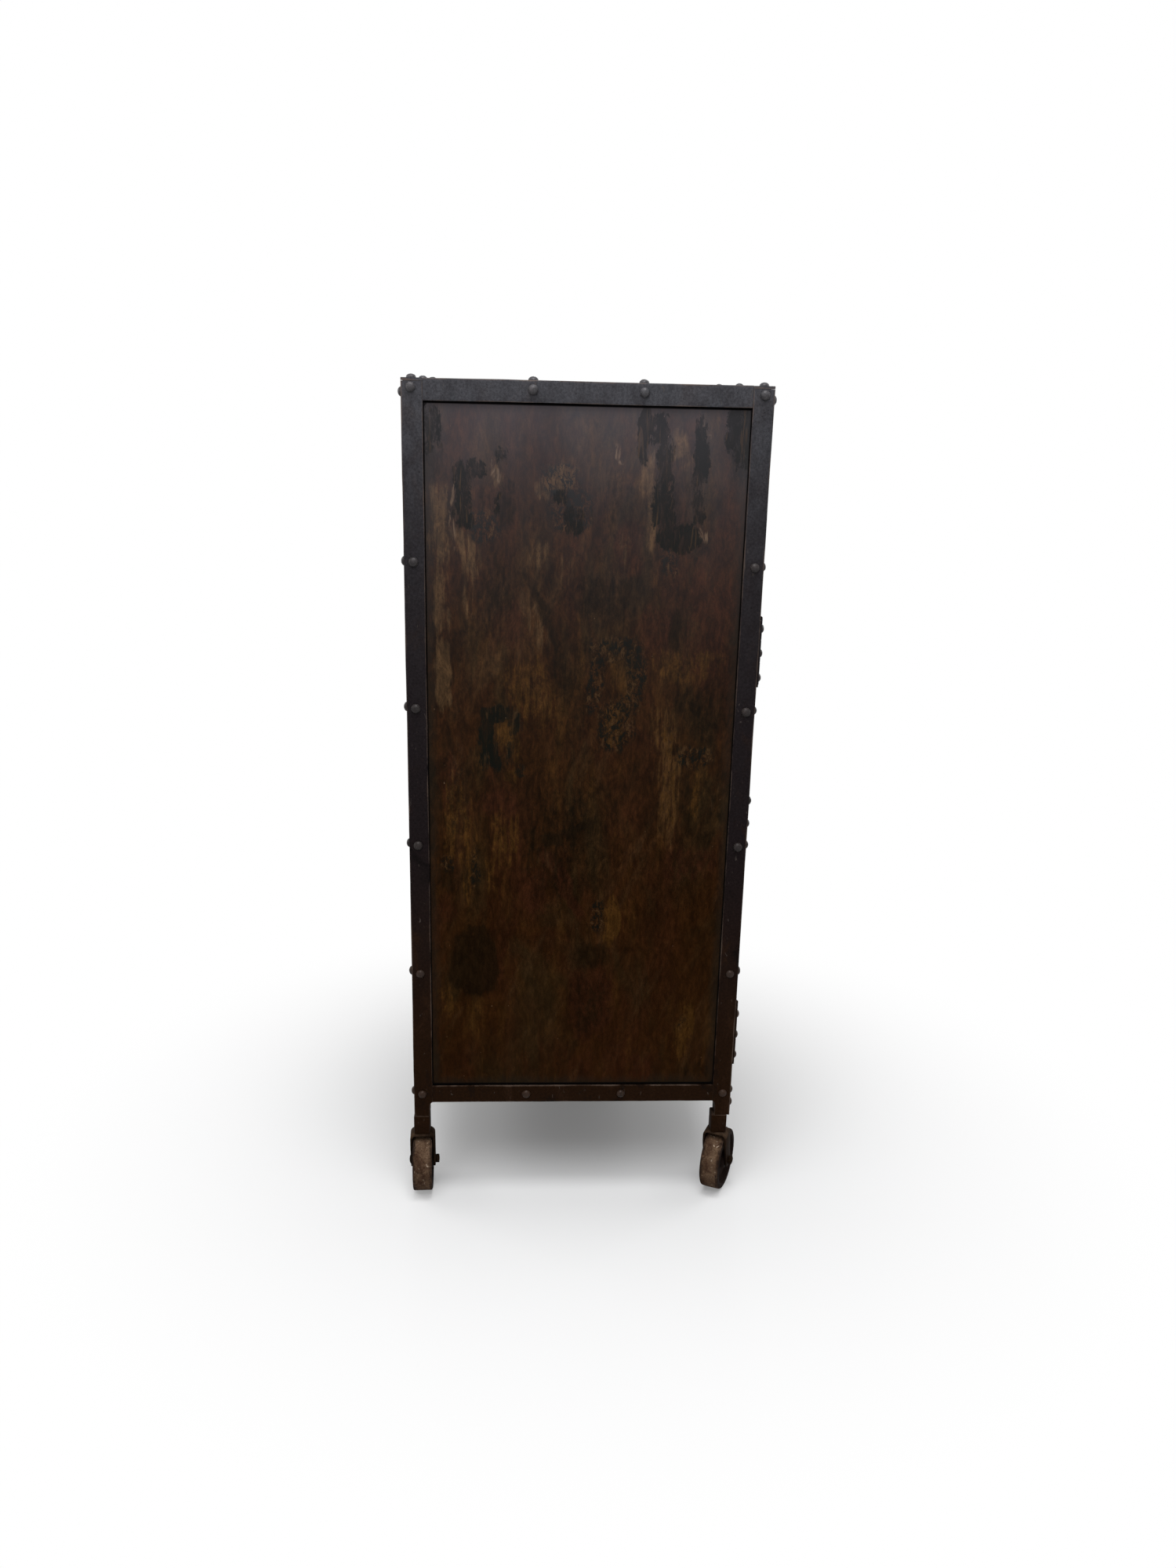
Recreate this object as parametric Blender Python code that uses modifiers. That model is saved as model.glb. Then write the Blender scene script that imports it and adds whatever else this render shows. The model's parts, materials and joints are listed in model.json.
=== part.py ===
"""Riveted angle-iron bar cabinet on four swivel casters.

The frame is angle iron with sheet panels riveted behind it. A wide drawer sits over
two doors, with a shelf behind the doors. Metres, +Z up, the front faces -Y, and the
origin is on the floor under the middle of the whole object.
"""

import math

import bmesh
import bpy
from mathutils import Matrix, Vector

# Frame
WIDTH = 0.900
DEPTH = 0.520
HEIGHT = 1.300
ANGLE = 0.030
IRON = 0.004
SHEET = 0.0015
LEG_WIDTH = 0.025
LEG_DROP = 0.026
DRAWER_OPENING = 0.226

# Clearances
FIT = 0.0003
RUNNING = 0.001
DOOR_GAP = 0.0025
DRAWER_GAP = 0.003
HEAD_CLEARANCE = 0.002

# Rivets
RIVET_RADIUS = 0.007
RIVET_RISE = 0.005
RIVET_ROOT = 0.001
RIVET_LINE = 0.0135
RIVET_PITCH = 0.2155
TOP_RIVET_DROP = 0.0125
END_RIVET_DROP = 0.019
LEG_RIVET_RISE = 0.018
SIDE_RIVET_REACH = 0.0775
FRONT_RIVET_REACH = 0.220

# Shelf
SHELF_TOP = 0.704
SHELF_SETBACK = 0.030
SHELF_LIP = 0.025
CLEAT_HEIGHT = 0.060
CLEAT_SEAT = 0.026
CLEAT_WALL = 0.003
CLEAT_RIVET_DROP = 0.013
CLEAT_RIVET_PITCH = 0.037

# Doors and hinges
STILE = 0.030
DOOR_IRON = 0.004
DOOR_PANEL_INSET = 0.006
UPPER_HINGE_INSET = 0.092
LOWER_HINGE_INSET = 0.083
HINGE_HEIGHT = 0.100
LEAF = 0.003
LEAF_WIDTH = 0.026
LEAF_RIVET_LINE = 0.0155
LEAF_RIVET_PITCH = 0.037
BARREL_RADIUS = 0.0042
PIN_RADIUS = 0.0022
PIN_CLEARANCE = 0.0003
PIN_HEAD = 0.003
KNUCKLE_GAP = 0.0004

# Drawer
FRONT_PLATE = 0.002
DRAWER_DEPTH = 0.450
DRAWER_HEIGHT = 0.170
GUIDE_HEIGHT = 0.024
GUIDE_WALL = 0.002
GUIDE_LENGTH = 0.440

# Handles
BAR_RADIUS = 0.005
BAR_BEND = 0.012
FOOT_RADIUS = 0.011
FOOT_RISE = 0.003
HANDLE_LENGTH = 0.160
HANDLE_REACH = 0.040
HANDLE_HEIGHT = 0.640
PULL_LENGTH = 0.120
PULL_REACH = 0.030
PULL_SPREAD = 0.225

# Casters
WHEEL_RADIUS = 0.051
WHEEL_WIDTH = 0.032
WHEEL_SIDES = 24
RIM_WALL = 0.010
WEB_WIDTH = 0.016
HUB_RADIUS = 0.015
TRAIL = 0.010
ARM = 0.0035
ARM_CLEARANCE = 0.0008
ARM_BOSS = 0.012
CROWN_CLEARANCE = 0.005
CROWN = 0.0045
CROWN_REACH = 0.013
CROWN_BEND = 0.005
SHOULDER = 0.0095
NECK = 0.033
NECK_WIDTH = 0.026
NECK_PROUD = 0.001
FRONT_NECK_SETBACK = 0.005
STEM_RADIUS = 0.006
STEM_LENGTH = 0.050
AXLE_RADIUS = 0.004
NUT_RADIUS = 0.0072
NUT_HEIGHT = 0.006
AXLE_HEAD = 0.0025
AXLE_HEAD_RADIUS = 0.0075
BACK_CASTER_TURN = math.radians(2)
FRONT_CASTER_TURN = math.radians(-25)

# Round shapes; the dome values place a rivet's shoulder as shares of its radius and rise
DOME_WIDTH = 0.72
DOME_HEIGHT = 0.76
BORE_SIDES = 12
STEM_SIDES = 16
ARC_STEPS = 4
HEAD_SIDES = 8
SMOOTH_ANGLE = math.radians(35)

# Planes of the frame, worked out from the sizes above
HALF_WIDTH = WIDTH / 2
HALF_DEPTH = DEPTH / 2
CROWN_BOTTOM = 2 * WHEEL_RADIUS + CROWN_CLEARANCE
CROWN_TOP = CROWN_BOTTOM + CROWN
NECK_BOTTOM = CROWN_TOP + FIT
LEG_BOTTOM = NECK_BOTTOM + NECK
BODY_BOTTOM = LEG_BOTTOM + LEG_DROP
POST_TOP = HEIGHT - IRON - FIT
RAIL_X = HALF_WIDTH - ANGLE - FIT
RAIL_Y = HALF_DEPTH - ANGLE - FIT
SKIN_X = HALF_WIDTH - IRON - FIT
SKIN_Y = HALF_DEPTH - IRON - FIT
INNER_X = SKIN_X - SHEET - FIT
INNER_Y = SKIN_Y - SHEET - FIT
FLOOR_BASE = BODY_BOTTOM + IRON + FIT
FLOOR_TOP = FLOOR_BASE + SHEET
ROOF_BASE = POST_TOP - SHEET
MID_TOP = HEIGHT - ANGLE - DRAWER_OPENING
MID_BOTTOM = MID_TOP - ANGLE
DECK_BASE = MID_TOP + FIT
DECK_TOP = DECK_BASE + SHEET
FACE_Y = -HALF_DEPTH
KINGPIN_INSET = NECK_WIDTH / 2 - NECK_PROUD
LOW_RIVET = BODY_BOTTOM + ANGLE / 2
HIGH_RIVET = HEIGHT - TOP_RIVET_DROP
END_RIVET = HEIGHT - END_RIVET_DROP
CLEAT_TOP = SHELF_TOP - SHEET - FIT
DOOR_BOTTOM = BODY_BOTTOM + ANGLE + DOOR_GAP
DOOR_TOP = MID_BOTTOM - DOOR_GAP
DOOR_OUTER = HALF_WIDTH - ANGLE - DOOR_GAP
DOOR_INNER = DOOR_GAP / 2
HINGE_X = HALF_WIDTH - ANGLE - DOOR_GAP / 2
HINGE_Y = FACE_Y - FIT - BARREL_RADIUS
UPPER_HINGE = DOOR_TOP - UPPER_HINGE_INSET
LOWER_HINGE = DOOR_BOTTOM + LOWER_HINGE_INSET
BORE_RADIUS = (PIN_RADIUS + PIN_CLEARANCE) / math.cos(math.pi / BORE_SIDES)
FRONT_X = HALF_WIDTH - ANGLE - DRAWER_GAP
FRONT_BOTTOM = MID_TOP + DRAWER_GAP
FRONT_TOP = HEIGHT - ANGLE - DRAWER_GAP
PULL_Y = FACE_Y + DOOR_IRON - FIT
BOX_FRONT = FACE_Y + DOOR_IRON + FRONT_PLATE + FIT
BOX_BASE = DECK_TOP + FIT
ARM_INNER = WHEEL_WIDTH / 2 + ARM_CLEARANCE
ARM_OUTER = ARM_INNER + ARM
FRONT_REACH = HALF_DEPTH + FIT + HANDLE_REACH
HEAD_REACH = (ARM_OUTER + FIT + AXLE_HEAD) * math.cos(BACK_CASTER_TURN) + TRAIL * math.sin(BACK_CASTER_TURN)
BACK_REACH = max(HALF_DEPTH + RIVET_RISE, HALF_DEPTH - KINGPIN_INSET + HEAD_REACH)
CENTRE_SHIFT = (FRONT_REACH - BACK_REACH) / 2

SIDES = {"left": -1, "right": 1}
ENDS = {"front": -1, "back": 1}
KINGPIN_Y = {"front": HALF_DEPTH - KINGPIN_INSET - FRONT_NECK_SETBACK, "back": HALF_DEPTH - KINGPIN_INSET}

for old in list(bpy.data.objects):
    bpy.data.objects.remove(old, do_unlink=True)

cabinet = bpy.data.collections.new("bar_cabinet")
cutters = bpy.data.collections.new("cutters")
bpy.context.scene.collection.children.link(cabinet)
bpy.context.scene.collection.children.link(cutters)


def finish(name, colour, roughness, metallic):
    """A plain surface finish."""
    material = bpy.data.materials.new(name)
    material.use_nodes = True
    shader = material.node_tree.nodes["Principled BSDF"]
    shader.inputs["Base Color"].default_value = (*colour, 1.0)
    shader.inputs["Roughness"].default_value = roughness
    shader.inputs["Metallic"].default_value = metallic
    return material


BLACK_IRON = finish("black_iron", (0.027, 0.025, 0.025), 0.55, 0.7)
BROWN_SHEET = finish("brown_patina", (0.046, 0.028, 0.018), 0.6, 0.5)
DARK_SHEET = finish("dark_sheet", (0.030, 0.022, 0.017), 0.6, 0.5)
CAST_IRON = finish("worn_cast_iron", (0.090, 0.062, 0.046), 0.7, 0.6)
FORGED = finish("forged_iron", (0.022, 0.017, 0.014), 0.5, 0.7)


def blank(mesh):
    """A hidden object that is joined to a piece or cut from it, until piece() shows it."""
    body = bpy.data.objects.new("cutter", mesh)
    body.hide_render = True
    body.display_type = "WIRE"
    cutters.objects.link(body)
    return body


def from_bmesh(bm):
    """A blank made from a bmesh, which is freed."""
    bmesh.ops.recalc_face_normals(bm, faces=bm.faces)
    mesh = bpy.data.meshes.new("shape")
    bm.to_mesh(mesh)
    bm.free()
    return blank(mesh)


def from_object(source, place):
    """A blank made from an evaluated curve or profile, moved to its place."""
    bpy.context.view_layer.update()
    view = bpy.context.evaluated_depsgraph_get()
    mesh = bpy.data.meshes.new_from_object(source.evaluated_get(view), depsgraph=view)
    bpy.data.objects.remove(source, do_unlink=True)
    bm = bmesh.new()
    bm.from_mesh(mesh)
    bpy.data.meshes.remove(mesh)
    bmesh.ops.remove_doubles(bm, verts=bm.verts, dist=1e-6)
    bmesh.ops.transform(bm, matrix=place, verts=bm.verts)
    return from_bmesh(bm)


def box(low, high):
    """A box between two corners, given in any order."""
    middle = (Vector(low) + Vector(high)) / 2
    size = [abs(b - a) for a, b in zip(low, high)]
    bm = bmesh.new()
    bmesh.ops.create_cube(bm, size=1.0, matrix=Matrix.Translation(middle) @ Matrix.Diagonal((*size, 1.0)))
    return from_bmesh(bm)


def rod(start, end, radius, sides):
    """A cylinder from one point to another."""
    along = Vector(end) - Vector(start)
    turn = Vector((0, 0, 1)).rotation_difference(along).to_matrix().to_4x4()
    place = Matrix.Translation((Vector(start) + Vector(end)) / 2) @ turn
    bm = bmesh.new()
    bmesh.ops.create_cone(bm, cap_ends=True, segments=sides, radius1=radius, radius2=radius,
                          depth=along.length, matrix=place)
    return from_bmesh(bm)


# A plate's outline lies in the plane square to its axis: these turn its XY plane there.
PLANES = {
    "X": Matrix(((0, 0, 1, 0), (1, 0, 0, 0), (0, 1, 0, 0), (0, 0, 0, 1))),
    "Y": Matrix(((1, 0, 0, 0), (0, 0, -1, 0), (0, 1, 0, 0), (0, 0, 0, 1))),
    "Z": Matrix.Identity(4),
}


def plate(axis, low, high, *outlines):
    """A flat plate between two levels of an axis; outlines after the first are holes."""
    curve = bpy.data.curves.new("outline", "CURVE")
    curve.dimensions = "2D"
    curve.fill_mode = "BOTH"
    curve.extrude = abs(high - low) / 2
    for outline in outlines:
        spline = curve.splines.new("POLY")
        spline.points.add(len(outline) - 1)
        for point, (u, v) in zip(spline.points, outline):
            point.co = (u, v, 0.0, 1.0)
        spline.use_cyclic_u = True
    source = bpy.data.objects.new("outline", curve)
    cutters.objects.link(source)
    level = Vector({"X": (1, 0, 0), "Y": (0, 1, 0), "Z": (0, 0, 1)}[axis]) * (low + high) / 2
    return from_object(source, Matrix.Translation(level) @ PLANES[axis])


def rectangle(u0, v0, u1, v1):
    """The corners of a rectangle."""
    return [(u0, v0), (u1, v0), (u1, v1), (u0, v1)]


def arc(centre, radius, start, end, steps=ARC_STEPS):
    """Points of an arc between two angles in degrees."""
    angles = [math.radians(start + (end - start) * i / steps) for i in range(steps + 1)]
    return [(centre[0] + radius * math.cos(a), centre[1] + radius * math.sin(a)) for a in angles]


def turned(profile, sides, place):
    """A shape turned about Z from (radius, height) points that run down the outer side."""
    mesh = bpy.data.meshes.new("profile")
    mesh.from_pydata([(r, 0.0, z) for r, z in profile], [(i, i + 1) for i in range(len(profile) - 1)], [])
    source = bpy.data.objects.new("profile", mesh)
    cutters.objects.link(source)
    screw = source.modifiers.new("turn", "SCREW")
    screw.steps = sides
    screw.render_steps = sides
    screw.use_merge_vertices = True
    screw.merge_threshold = 0.00005
    return from_object(source, place)


def bar(points, radius):
    """A round bar along a path, with flat ends."""
    curve = bpy.data.curves.new("bar", "CURVE")
    curve.dimensions = "3D"
    curve.bevel_depth = radius
    curve.bevel_resolution = 2
    curve.use_fill_caps = True
    spline = curve.splines.new("POLY")
    spline.points.add(len(points) - 1)
    for point, place in zip(spline.points, points):
        point.co = (*place, 1.0)
    source = bpy.data.objects.new("bar", curve)
    cutters.objects.link(source)
    return from_object(source, Matrix.Identity(4))


def rivets(spots, direction):
    """Domed rivet heads on one face, rooted a little below it."""
    profile = [(0, RIVET_RISE), (DOME_WIDTH * RIVET_RADIUS, DOME_HEIGHT * RIVET_RISE),
               (RIVET_RADIUS, -RIVET_ROOT), (0, -RIVET_ROOT)]
    turn = Vector((0, 0, 1)).rotation_difference(Vector(direction)).to_matrix().to_4x4()
    head = turned(profile, HEAD_SIDES, turn)
    bm = bmesh.new()
    for spot in spots:
        bm.from_mesh(head.data)
        bm.verts.ensure_lookup_table()
        bmesh.ops.translate(bm, vec=Vector(spot), verts=bm.verts[-len(head.data.vertices):])
    bpy.data.objects.remove(head, do_unlink=True)
    return from_bmesh(bm)


def axis_empty(name, place, parent, turn=0.0):
    """An empty on a joint's axis."""
    empty = bpy.data.objects.new(name, None)
    empty.location = place
    empty.rotation_euler = (0, 0, turn)
    empty.parent = parent
    cabinet.objects.link(empty)
    return empty


def piece(name, base, material, parent, within=(), add=(), cut=()):
    """Make a blank into a named piece: kept within some blanks, joined to some, cut by others."""
    base.name = name
    base.hide_render = False
    base.display_type = "TEXTURED"
    cutters.objects.unlink(base)
    cabinet.objects.link(base)
    base.data.materials.append(material)
    base.data.shade_smooth()
    base.data.set_sharp_from_angle(angle=SMOOTH_ANGLE)
    for operation, others in (("INTERSECT", within), ("UNION", add), ("DIFFERENCE", cut)):
        for other in others:
            boolean = base.modifiers.new(operation.lower(), "BOOLEAN")
            boolean.operation = operation
            boolean.object = other
            other.parent = base
    base.parent = parent
    if parent.parent:
        base.location = -parent.location
    return base


def post_rivet_heights(top):
    """Rivet heights up a post: a steady pitch from the bottom rail, and one at the top."""
    count = int((top - LOW_RIVET) / RIVET_PITCH - 0.5) + 1
    return [LOW_RIVET + i * RIVET_PITCH for i in range(count)] + [top]


def past_hinges(height):
    """A front rivet's height, moved past the end of a hinge leaf that would cover it."""
    reach = HINGE_HEIGHT / 2 + RIVET_RADIUS + HEAD_CLEARANCE
    for middle in (UPPER_HINGE, LOWER_HINGE):
        if abs(height - middle) < reach:
            return middle + math.copysign(reach, height - middle)
    return height


def post(side, end, root):
    """A corner post: an angle with a narrower leg, and a square neck bored for the caster stem."""
    sx, sy = SIDES[side], ENDS[end]
    bend = ANGLE - LEG_WIDTH
    corner = arc((ANGLE, BODY_BOTTOM - bend), bend, 180, 90)
    profile = [(0, LEG_BOTTOM), (LEG_WIDTH, LEG_BOTTOM), *corner, (ANGLE, POST_TOP), (0, POST_TOP)]
    flank_outline = [(sy * (HALF_DEPTH - a), z) for a, z in profile]
    face_outline = [(sx * (HALF_WIDTH - max(a, IRON / 2)), z) for a, z in profile]
    flank = plate("X", sx * HALF_WIDTH, sx * (HALF_WIDTH - IRON), flank_outline)
    face = plate("Y", sy * HALF_DEPTH, sy * (HALF_DEPTH - IRON), face_outline)
    inset = NECK_WIDTH - NECK_PROUD
    far_x, far_y = sx * (HALF_WIDTH - inset), HALF_DEPTH - inset
    near_y, neck_y = HALF_DEPTH - IRON / 2, KINGPIN_Y[end] + NECK_WIDTH / 2
    seat, top = LEG_BOTTOM - NECK_PROUD, BODY_BOTTOM + IRON
    core = [(far_y, seat), (far_y, top), (near_y, top)]
    if neck_y < HALF_DEPTH:
        step = neck_y - RUNNING
        core += [(near_y, LEG_BOTTOM), (step, LEG_BOTTOM), (step, seat)]
    else:
        core += [(near_y, seat)]
    block = plate("X", sx * (HALF_WIDTH - IRON / 2), far_x, [(sy * y, z) for y, z in core])
    neck = box((sx * (HALF_WIDTH + NECK_PROUD), sy * neck_y, NECK_BOTTOM),
               (far_x, sy * (neck_y - NECK_WIDTH), LEG_BOTTOM))
    kx, ky = sx * (HALF_WIDTH - KINGPIN_INSET), sy * KINGPIN_Y[end]
    bore = rod((kx, ky, NECK_BOTTOM - IRON), (kx, ky, CROWN_TOP + STEM_LENGTH + RUNNING),
               (STEM_RADIUS + FIT) / math.cos(math.pi / STEM_SIDES), STEM_SIDES)
    flank_y = sy * (HALF_DEPTH - RIVET_LINE)
    flank_spots = [(sx * HALF_WIDTH, flank_y, z) for z in post_rivet_heights(HIGH_RIVET)]
    face_heights = post_rivet_heights(END_RIVET)
    if end == "front":
        upper = CLEAT_TOP - CLEAT_RIVET_DROP
        face_heights = [past_hinges(z) for z in face_heights]
        face_heights += [LEG_BOTTOM + LEG_RIVET_RISE, upper, upper - CLEAT_RIVET_PITCH]
    face_spots = [(sx * (HALF_WIDTH - RIVET_LINE), sy * HALF_DEPTH, z) for z in face_heights]
    heads = [rivets(flank_spots, (sx, 0, 0)), rivets(face_spots, (0, sy, 0))]
    piece(f"post_{end}_{side}", flank, BLACK_IRON, root, add=[face, block, neck, *heads], cut=[bore])


def end_rails(end, root):
    """The top and bottom rails across the front or the back."""
    sy = ENDS[end]
    outer, behind, inner = sy * HALF_DEPTH, sy * (HALF_DEPTH - IRON), sy * (HALF_DEPTH - ANGLE)
    across = [0, FRONT_RIVET_REACH, -FRONT_RIVET_REACH]
    corner_x = HALF_WIDTH - RIVET_LINE
    top_y = sy * (HALF_DEPTH - RIVET_LINE)
    flange = box((-HALF_WIDTH, outer, HEIGHT - IRON), (HALF_WIDTH, inner, HEIGHT))
    web = box((-RAIL_X, outer, HEIGHT - ANGLE), (RAIL_X, behind, HEIGHT - IRON / 2))
    top_heads = rivets([(x, top_y, HEIGHT) for x in (*across, corner_x, -corner_x)], (0, 0, 1))
    face_heads = rivets([(x, outer, HIGH_RIVET) for x in across], (0, sy, 0))
    piece(f"top_rail_{end}", flange, BLACK_IRON, root, add=[web, top_heads, face_heads])
    web = box((-RAIL_X, outer, BODY_BOTTOM), (RAIL_X, behind, BODY_BOTTOM + ANGLE))
    flange = box((-RAIL_X, sy * (HALF_DEPTH - IRON / 2), BODY_BOTTOM), (RAIL_X, inner, BODY_BOTTOM + IRON))
    face_heads = rivets([(x, outer, LOW_RIVET) for x in across], (0, sy, 0))
    piece(f"bottom_rail_{end}", web, BLACK_IRON, root, add=[flange, face_heads])


def side_rails(side, root):
    """The top and bottom rails along one side, between the posts."""
    sx = SIDES[side]
    outer, behind, inner = sx * HALF_WIDTH, sx * (HALF_WIDTH - IRON), sx * (HALF_WIDTH - ANGLE)
    along = [-SIDE_RIVET_REACH, SIDE_RIVET_REACH]
    within = sx * (HALF_WIDTH - IRON / 2)
    web = box((outer, -RAIL_Y, HEIGHT - ANGLE), (behind, RAIL_Y, HEIGHT))
    flange = box((within, -RAIL_Y, HEIGHT - IRON), (inner, RAIL_Y, HEIGHT))
    top_heads = rivets([(sx * (HALF_WIDTH - RIVET_LINE), y, HEIGHT) for y in along], (0, 0, 1))
    face_heads = rivets([(outer, y, HIGH_RIVET) for y in along], (sx, 0, 0))
    piece(f"top_rail_{side}", web, BLACK_IRON, root, add=[flange, top_heads, face_heads])
    web = box((outer, -RAIL_Y, BODY_BOTTOM), (behind, RAIL_Y, BODY_BOTTOM + ANGLE))
    flange = box((within, -RAIL_Y, BODY_BOTTOM), (inner, RAIL_Y, BODY_BOTTOM + IRON))
    face_heads = rivets([(outer, y, LOW_RIVET) for y in along], (sx, 0, 0))
    piece(f"bottom_rail_{side}", web, BLACK_IRON, root, add=[flange, face_heads])


def mid_rails(root):
    """The rail between drawer and doors, and the angle that carries the deck at the back."""
    web = box((-RAIL_X, FACE_Y, MID_BOTTOM), (RAIL_X, FACE_Y + IRON, MID_TOP))
    flange = box((-RAIL_X, FACE_Y + IRON / 2, MID_TOP - IRON), (RAIL_X, FACE_Y + ANGLE, MID_TOP))
    spots = [(x, FACE_Y, MID_BOTTOM + ANGLE / 2) for x in (0, FRONT_RIVET_REACH, -FRONT_RIVET_REACH)]
    piece("mid_rail_front", web, BLACK_IRON, root, add=[flange, rivets(spots, (0, -1, 0))])
    web = box((-INNER_X, INNER_Y - IRON, MID_BOTTOM), (INNER_X, INNER_Y, MID_TOP))
    flange = box((-INNER_X, INNER_Y - ANGLE, MID_TOP - IRON), (INNER_X, INNER_Y - IRON / 2, MID_TOP))
    piece("mid_rail_back", web, BLACK_IRON, root, add=[flange])


def panels(root):
    """The sheet skins inside the frame, and the deck under the drawer."""
    low, high = FLOOR_TOP + FIT, ROOF_BASE - FIT
    piece("top_panel", box((-SKIN_X, -SKIN_Y, ROOF_BASE), (SKIN_X, SKIN_Y, POST_TOP)), BROWN_SHEET, root)
    piece("bottom_panel", box((-SKIN_X, -SKIN_Y, FLOOR_BASE), (SKIN_X, SKIN_Y, FLOOR_TOP)), DARK_SHEET, root)
    for side, sx in SIDES.items():
        skin = box((sx * SKIN_X, -SKIN_Y, low), (sx * (SKIN_X - SHEET), SKIN_Y, high))
        piece(f"side_panel_{side}", skin, BROWN_SHEET, root)
    piece("back_panel", box((-INNER_X, SKIN_Y - SHEET, low), (INNER_X, SKIN_Y, high)), BROWN_SHEET, root)
    deck = box((-INNER_X, -SKIN_Y, DECK_BASE), (INNER_X, INNER_Y, DECK_TOP))
    piece("drawer_deck", deck, DARK_SHEET, root)


def shelf(root):
    """A folded shelf on two cleats, each with a tab behind the front post."""
    front = FACE_Y + SHELF_SETBACK
    tray = box((-INNER_X, front, SHELF_TOP - SHEET), (INNER_X, INNER_Y, SHELF_TOP))
    lip_x = INNER_X - CLEAT_SEAT - CLEAT_WALL
    lip = box((-lip_x, front, SHELF_TOP - SHELF_LIP), (lip_x, front + SHEET, SHELF_TOP - SHEET / 2))
    piece("shelf", tray, DARK_SHEET, root, add=[lip])
    low = CLEAT_TOP - CLEAT_HEIGHT
    for side, sx in SIDES.items():
        web = box((sx * INNER_X, -SKIN_Y, low), (sx * (INNER_X - CLEAT_WALL), INNER_Y, CLEAT_TOP))
        seat = box((sx * (INNER_X - CLEAT_WALL / 2), front, CLEAT_TOP - CLEAT_WALL),
                   (sx * (INNER_X - CLEAT_SEAT), INNER_Y, CLEAT_TOP))
        tab = box((sx * (INNER_X - CLEAT_WALL / 2), -SKIN_Y, low),
                  (sx * (HALF_WIDTH - ANGLE), -SKIN_Y + CLEAT_WALL, CLEAT_TOP))
        piece(f"shelf_cleat_{side}", web, BLACK_IRON, root, add=[seat, tab])


def drawer_guides(root):
    """Angles on the deck that keep the drawer straight."""
    for side, sx in SIDES.items():
        inner = FRONT_X + RUNNING
        start = FACE_Y + ANGLE
        fence = box((sx * inner, start, DECK_TOP + FIT),
                    (sx * (inner + GUIDE_WALL), start + GUIDE_LENGTH, DECK_TOP + FIT + GUIDE_HEIGHT))
        foot = box((sx * (inner + GUIDE_WALL / 2), start, DECK_TOP + FIT),
                   (sx * (INNER_X - RUNNING), start + GUIDE_LENGTH, DECK_TOP + FIT + GUIDE_WALL))
        piece(f"drawer_guide_{side}", fence, BLACK_IRON, root, add=[foot])


def hinge_leaf(name, side, middle, outward, knuckles, parent):
    """One leaf of a butt hinge: a riveted plate, its knuckles and their bore."""
    sx = SIDES[side]
    axis_x = sx * HINGE_X
    reach = sx * outward
    near, far = axis_x + reach * (BARREL_RADIUS + KNUCKLE_GAP), axis_x + reach * LEAF_WIDTH
    low, high = middle - HINGE_HEIGHT / 2, middle + HINGE_HEIGHT / 2
    front, back = FACE_Y - FIT - LEAF, FACE_Y - FIT
    parts = []
    for a, b in knuckles:
        parts.append(box((axis_x, front, a), (near + reach * KNUCKLE_GAP, back, b)))
        parts.append(rod((axis_x, HINGE_Y, a), (axis_x, HINGE_Y, b), BARREL_RADIUS, BORE_SIDES))
    spots = [(axis_x + reach * LEAF_RIVET_LINE, front, middle + i * LEAF_RIVET_PITCH) for i in (-1, 0, 1)]
    bore = rod((axis_x, HINGE_Y, low - PIN_HEAD), (axis_x, HINGE_Y, high + PIN_HEAD), BORE_RADIUS, BORE_SIDES)
    blade = box((near, front, low), (far, back, high))
    piece(name, blade, BLACK_IRON, parent, add=[*parts, rivets(spots, (0, -1, 0))], cut=[bore])


def hinge(side, level, middle, root, door_axis):
    """A surface butt hinge: one leaf on the post, one on the door, and a headed pin."""
    low, high = middle - HINGE_HEIGHT / 2, middle + HINGE_HEIGHT / 2
    third = HINGE_HEIGHT / 3
    frame_knuckles = [(low, low + third - KNUCKLE_GAP), (high - third + KNUCKLE_GAP, high)]
    hinge_leaf(f"hinge_frame_leaf_{level}_{side}", side, middle, 1, frame_knuckles, root)
    hinge_leaf(f"hinge_door_leaf_{level}_{side}", side, middle, -1, [(low + third, high - third)], door_axis)
    half = HINGE_HEIGHT / 2 + FIT
    profile = [(0, half + PIN_HEAD), (BARREL_RADIUS, half + PIN_HEAD / 2), (BARREL_RADIUS, half),
               (PIN_RADIUS, half), (PIN_RADIUS, -half), (BARREL_RADIUS, -half),
               (BARREL_RADIUS, -half - PIN_HEAD / 2), (0, -half - PIN_HEAD)]
    pin = turned(profile, BORE_SIDES, Matrix.Translation((SIDES[side] * HINGE_X, HINGE_Y, middle)))
    piece(f"hinge_pin_{level}_{side}", pin, FORGED, root)


def loop_handle(name, foot_a, foot_b, reach, parent):
    """A bent bar standing off a face on two round feet; reach is to its outer side."""
    a, b = Vector(foot_a), Vector(foot_b)
    along = (b - a).normalized()
    out = Vector((0, -1, 0))
    height = reach - BAR_RADIUS
    bend = arc((BAR_BEND, height - BAR_BEND), BAR_BEND, 180, 90)
    rise = [a + out * (FOOT_RISE / 2)] + [a + along * u + out * v for u, v in bend]
    fall = [b - along * u + out * v for u, v in reversed(bend)] + [b + out * (FOOT_RISE / 2)]
    feet = [rod(end, end + out * FOOT_RISE, FOOT_RADIUS, STEM_SIDES) for end in (a, b)]
    piece(name, bar(rise + fall, BAR_RADIUS), FORGED, parent, add=feet)


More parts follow.
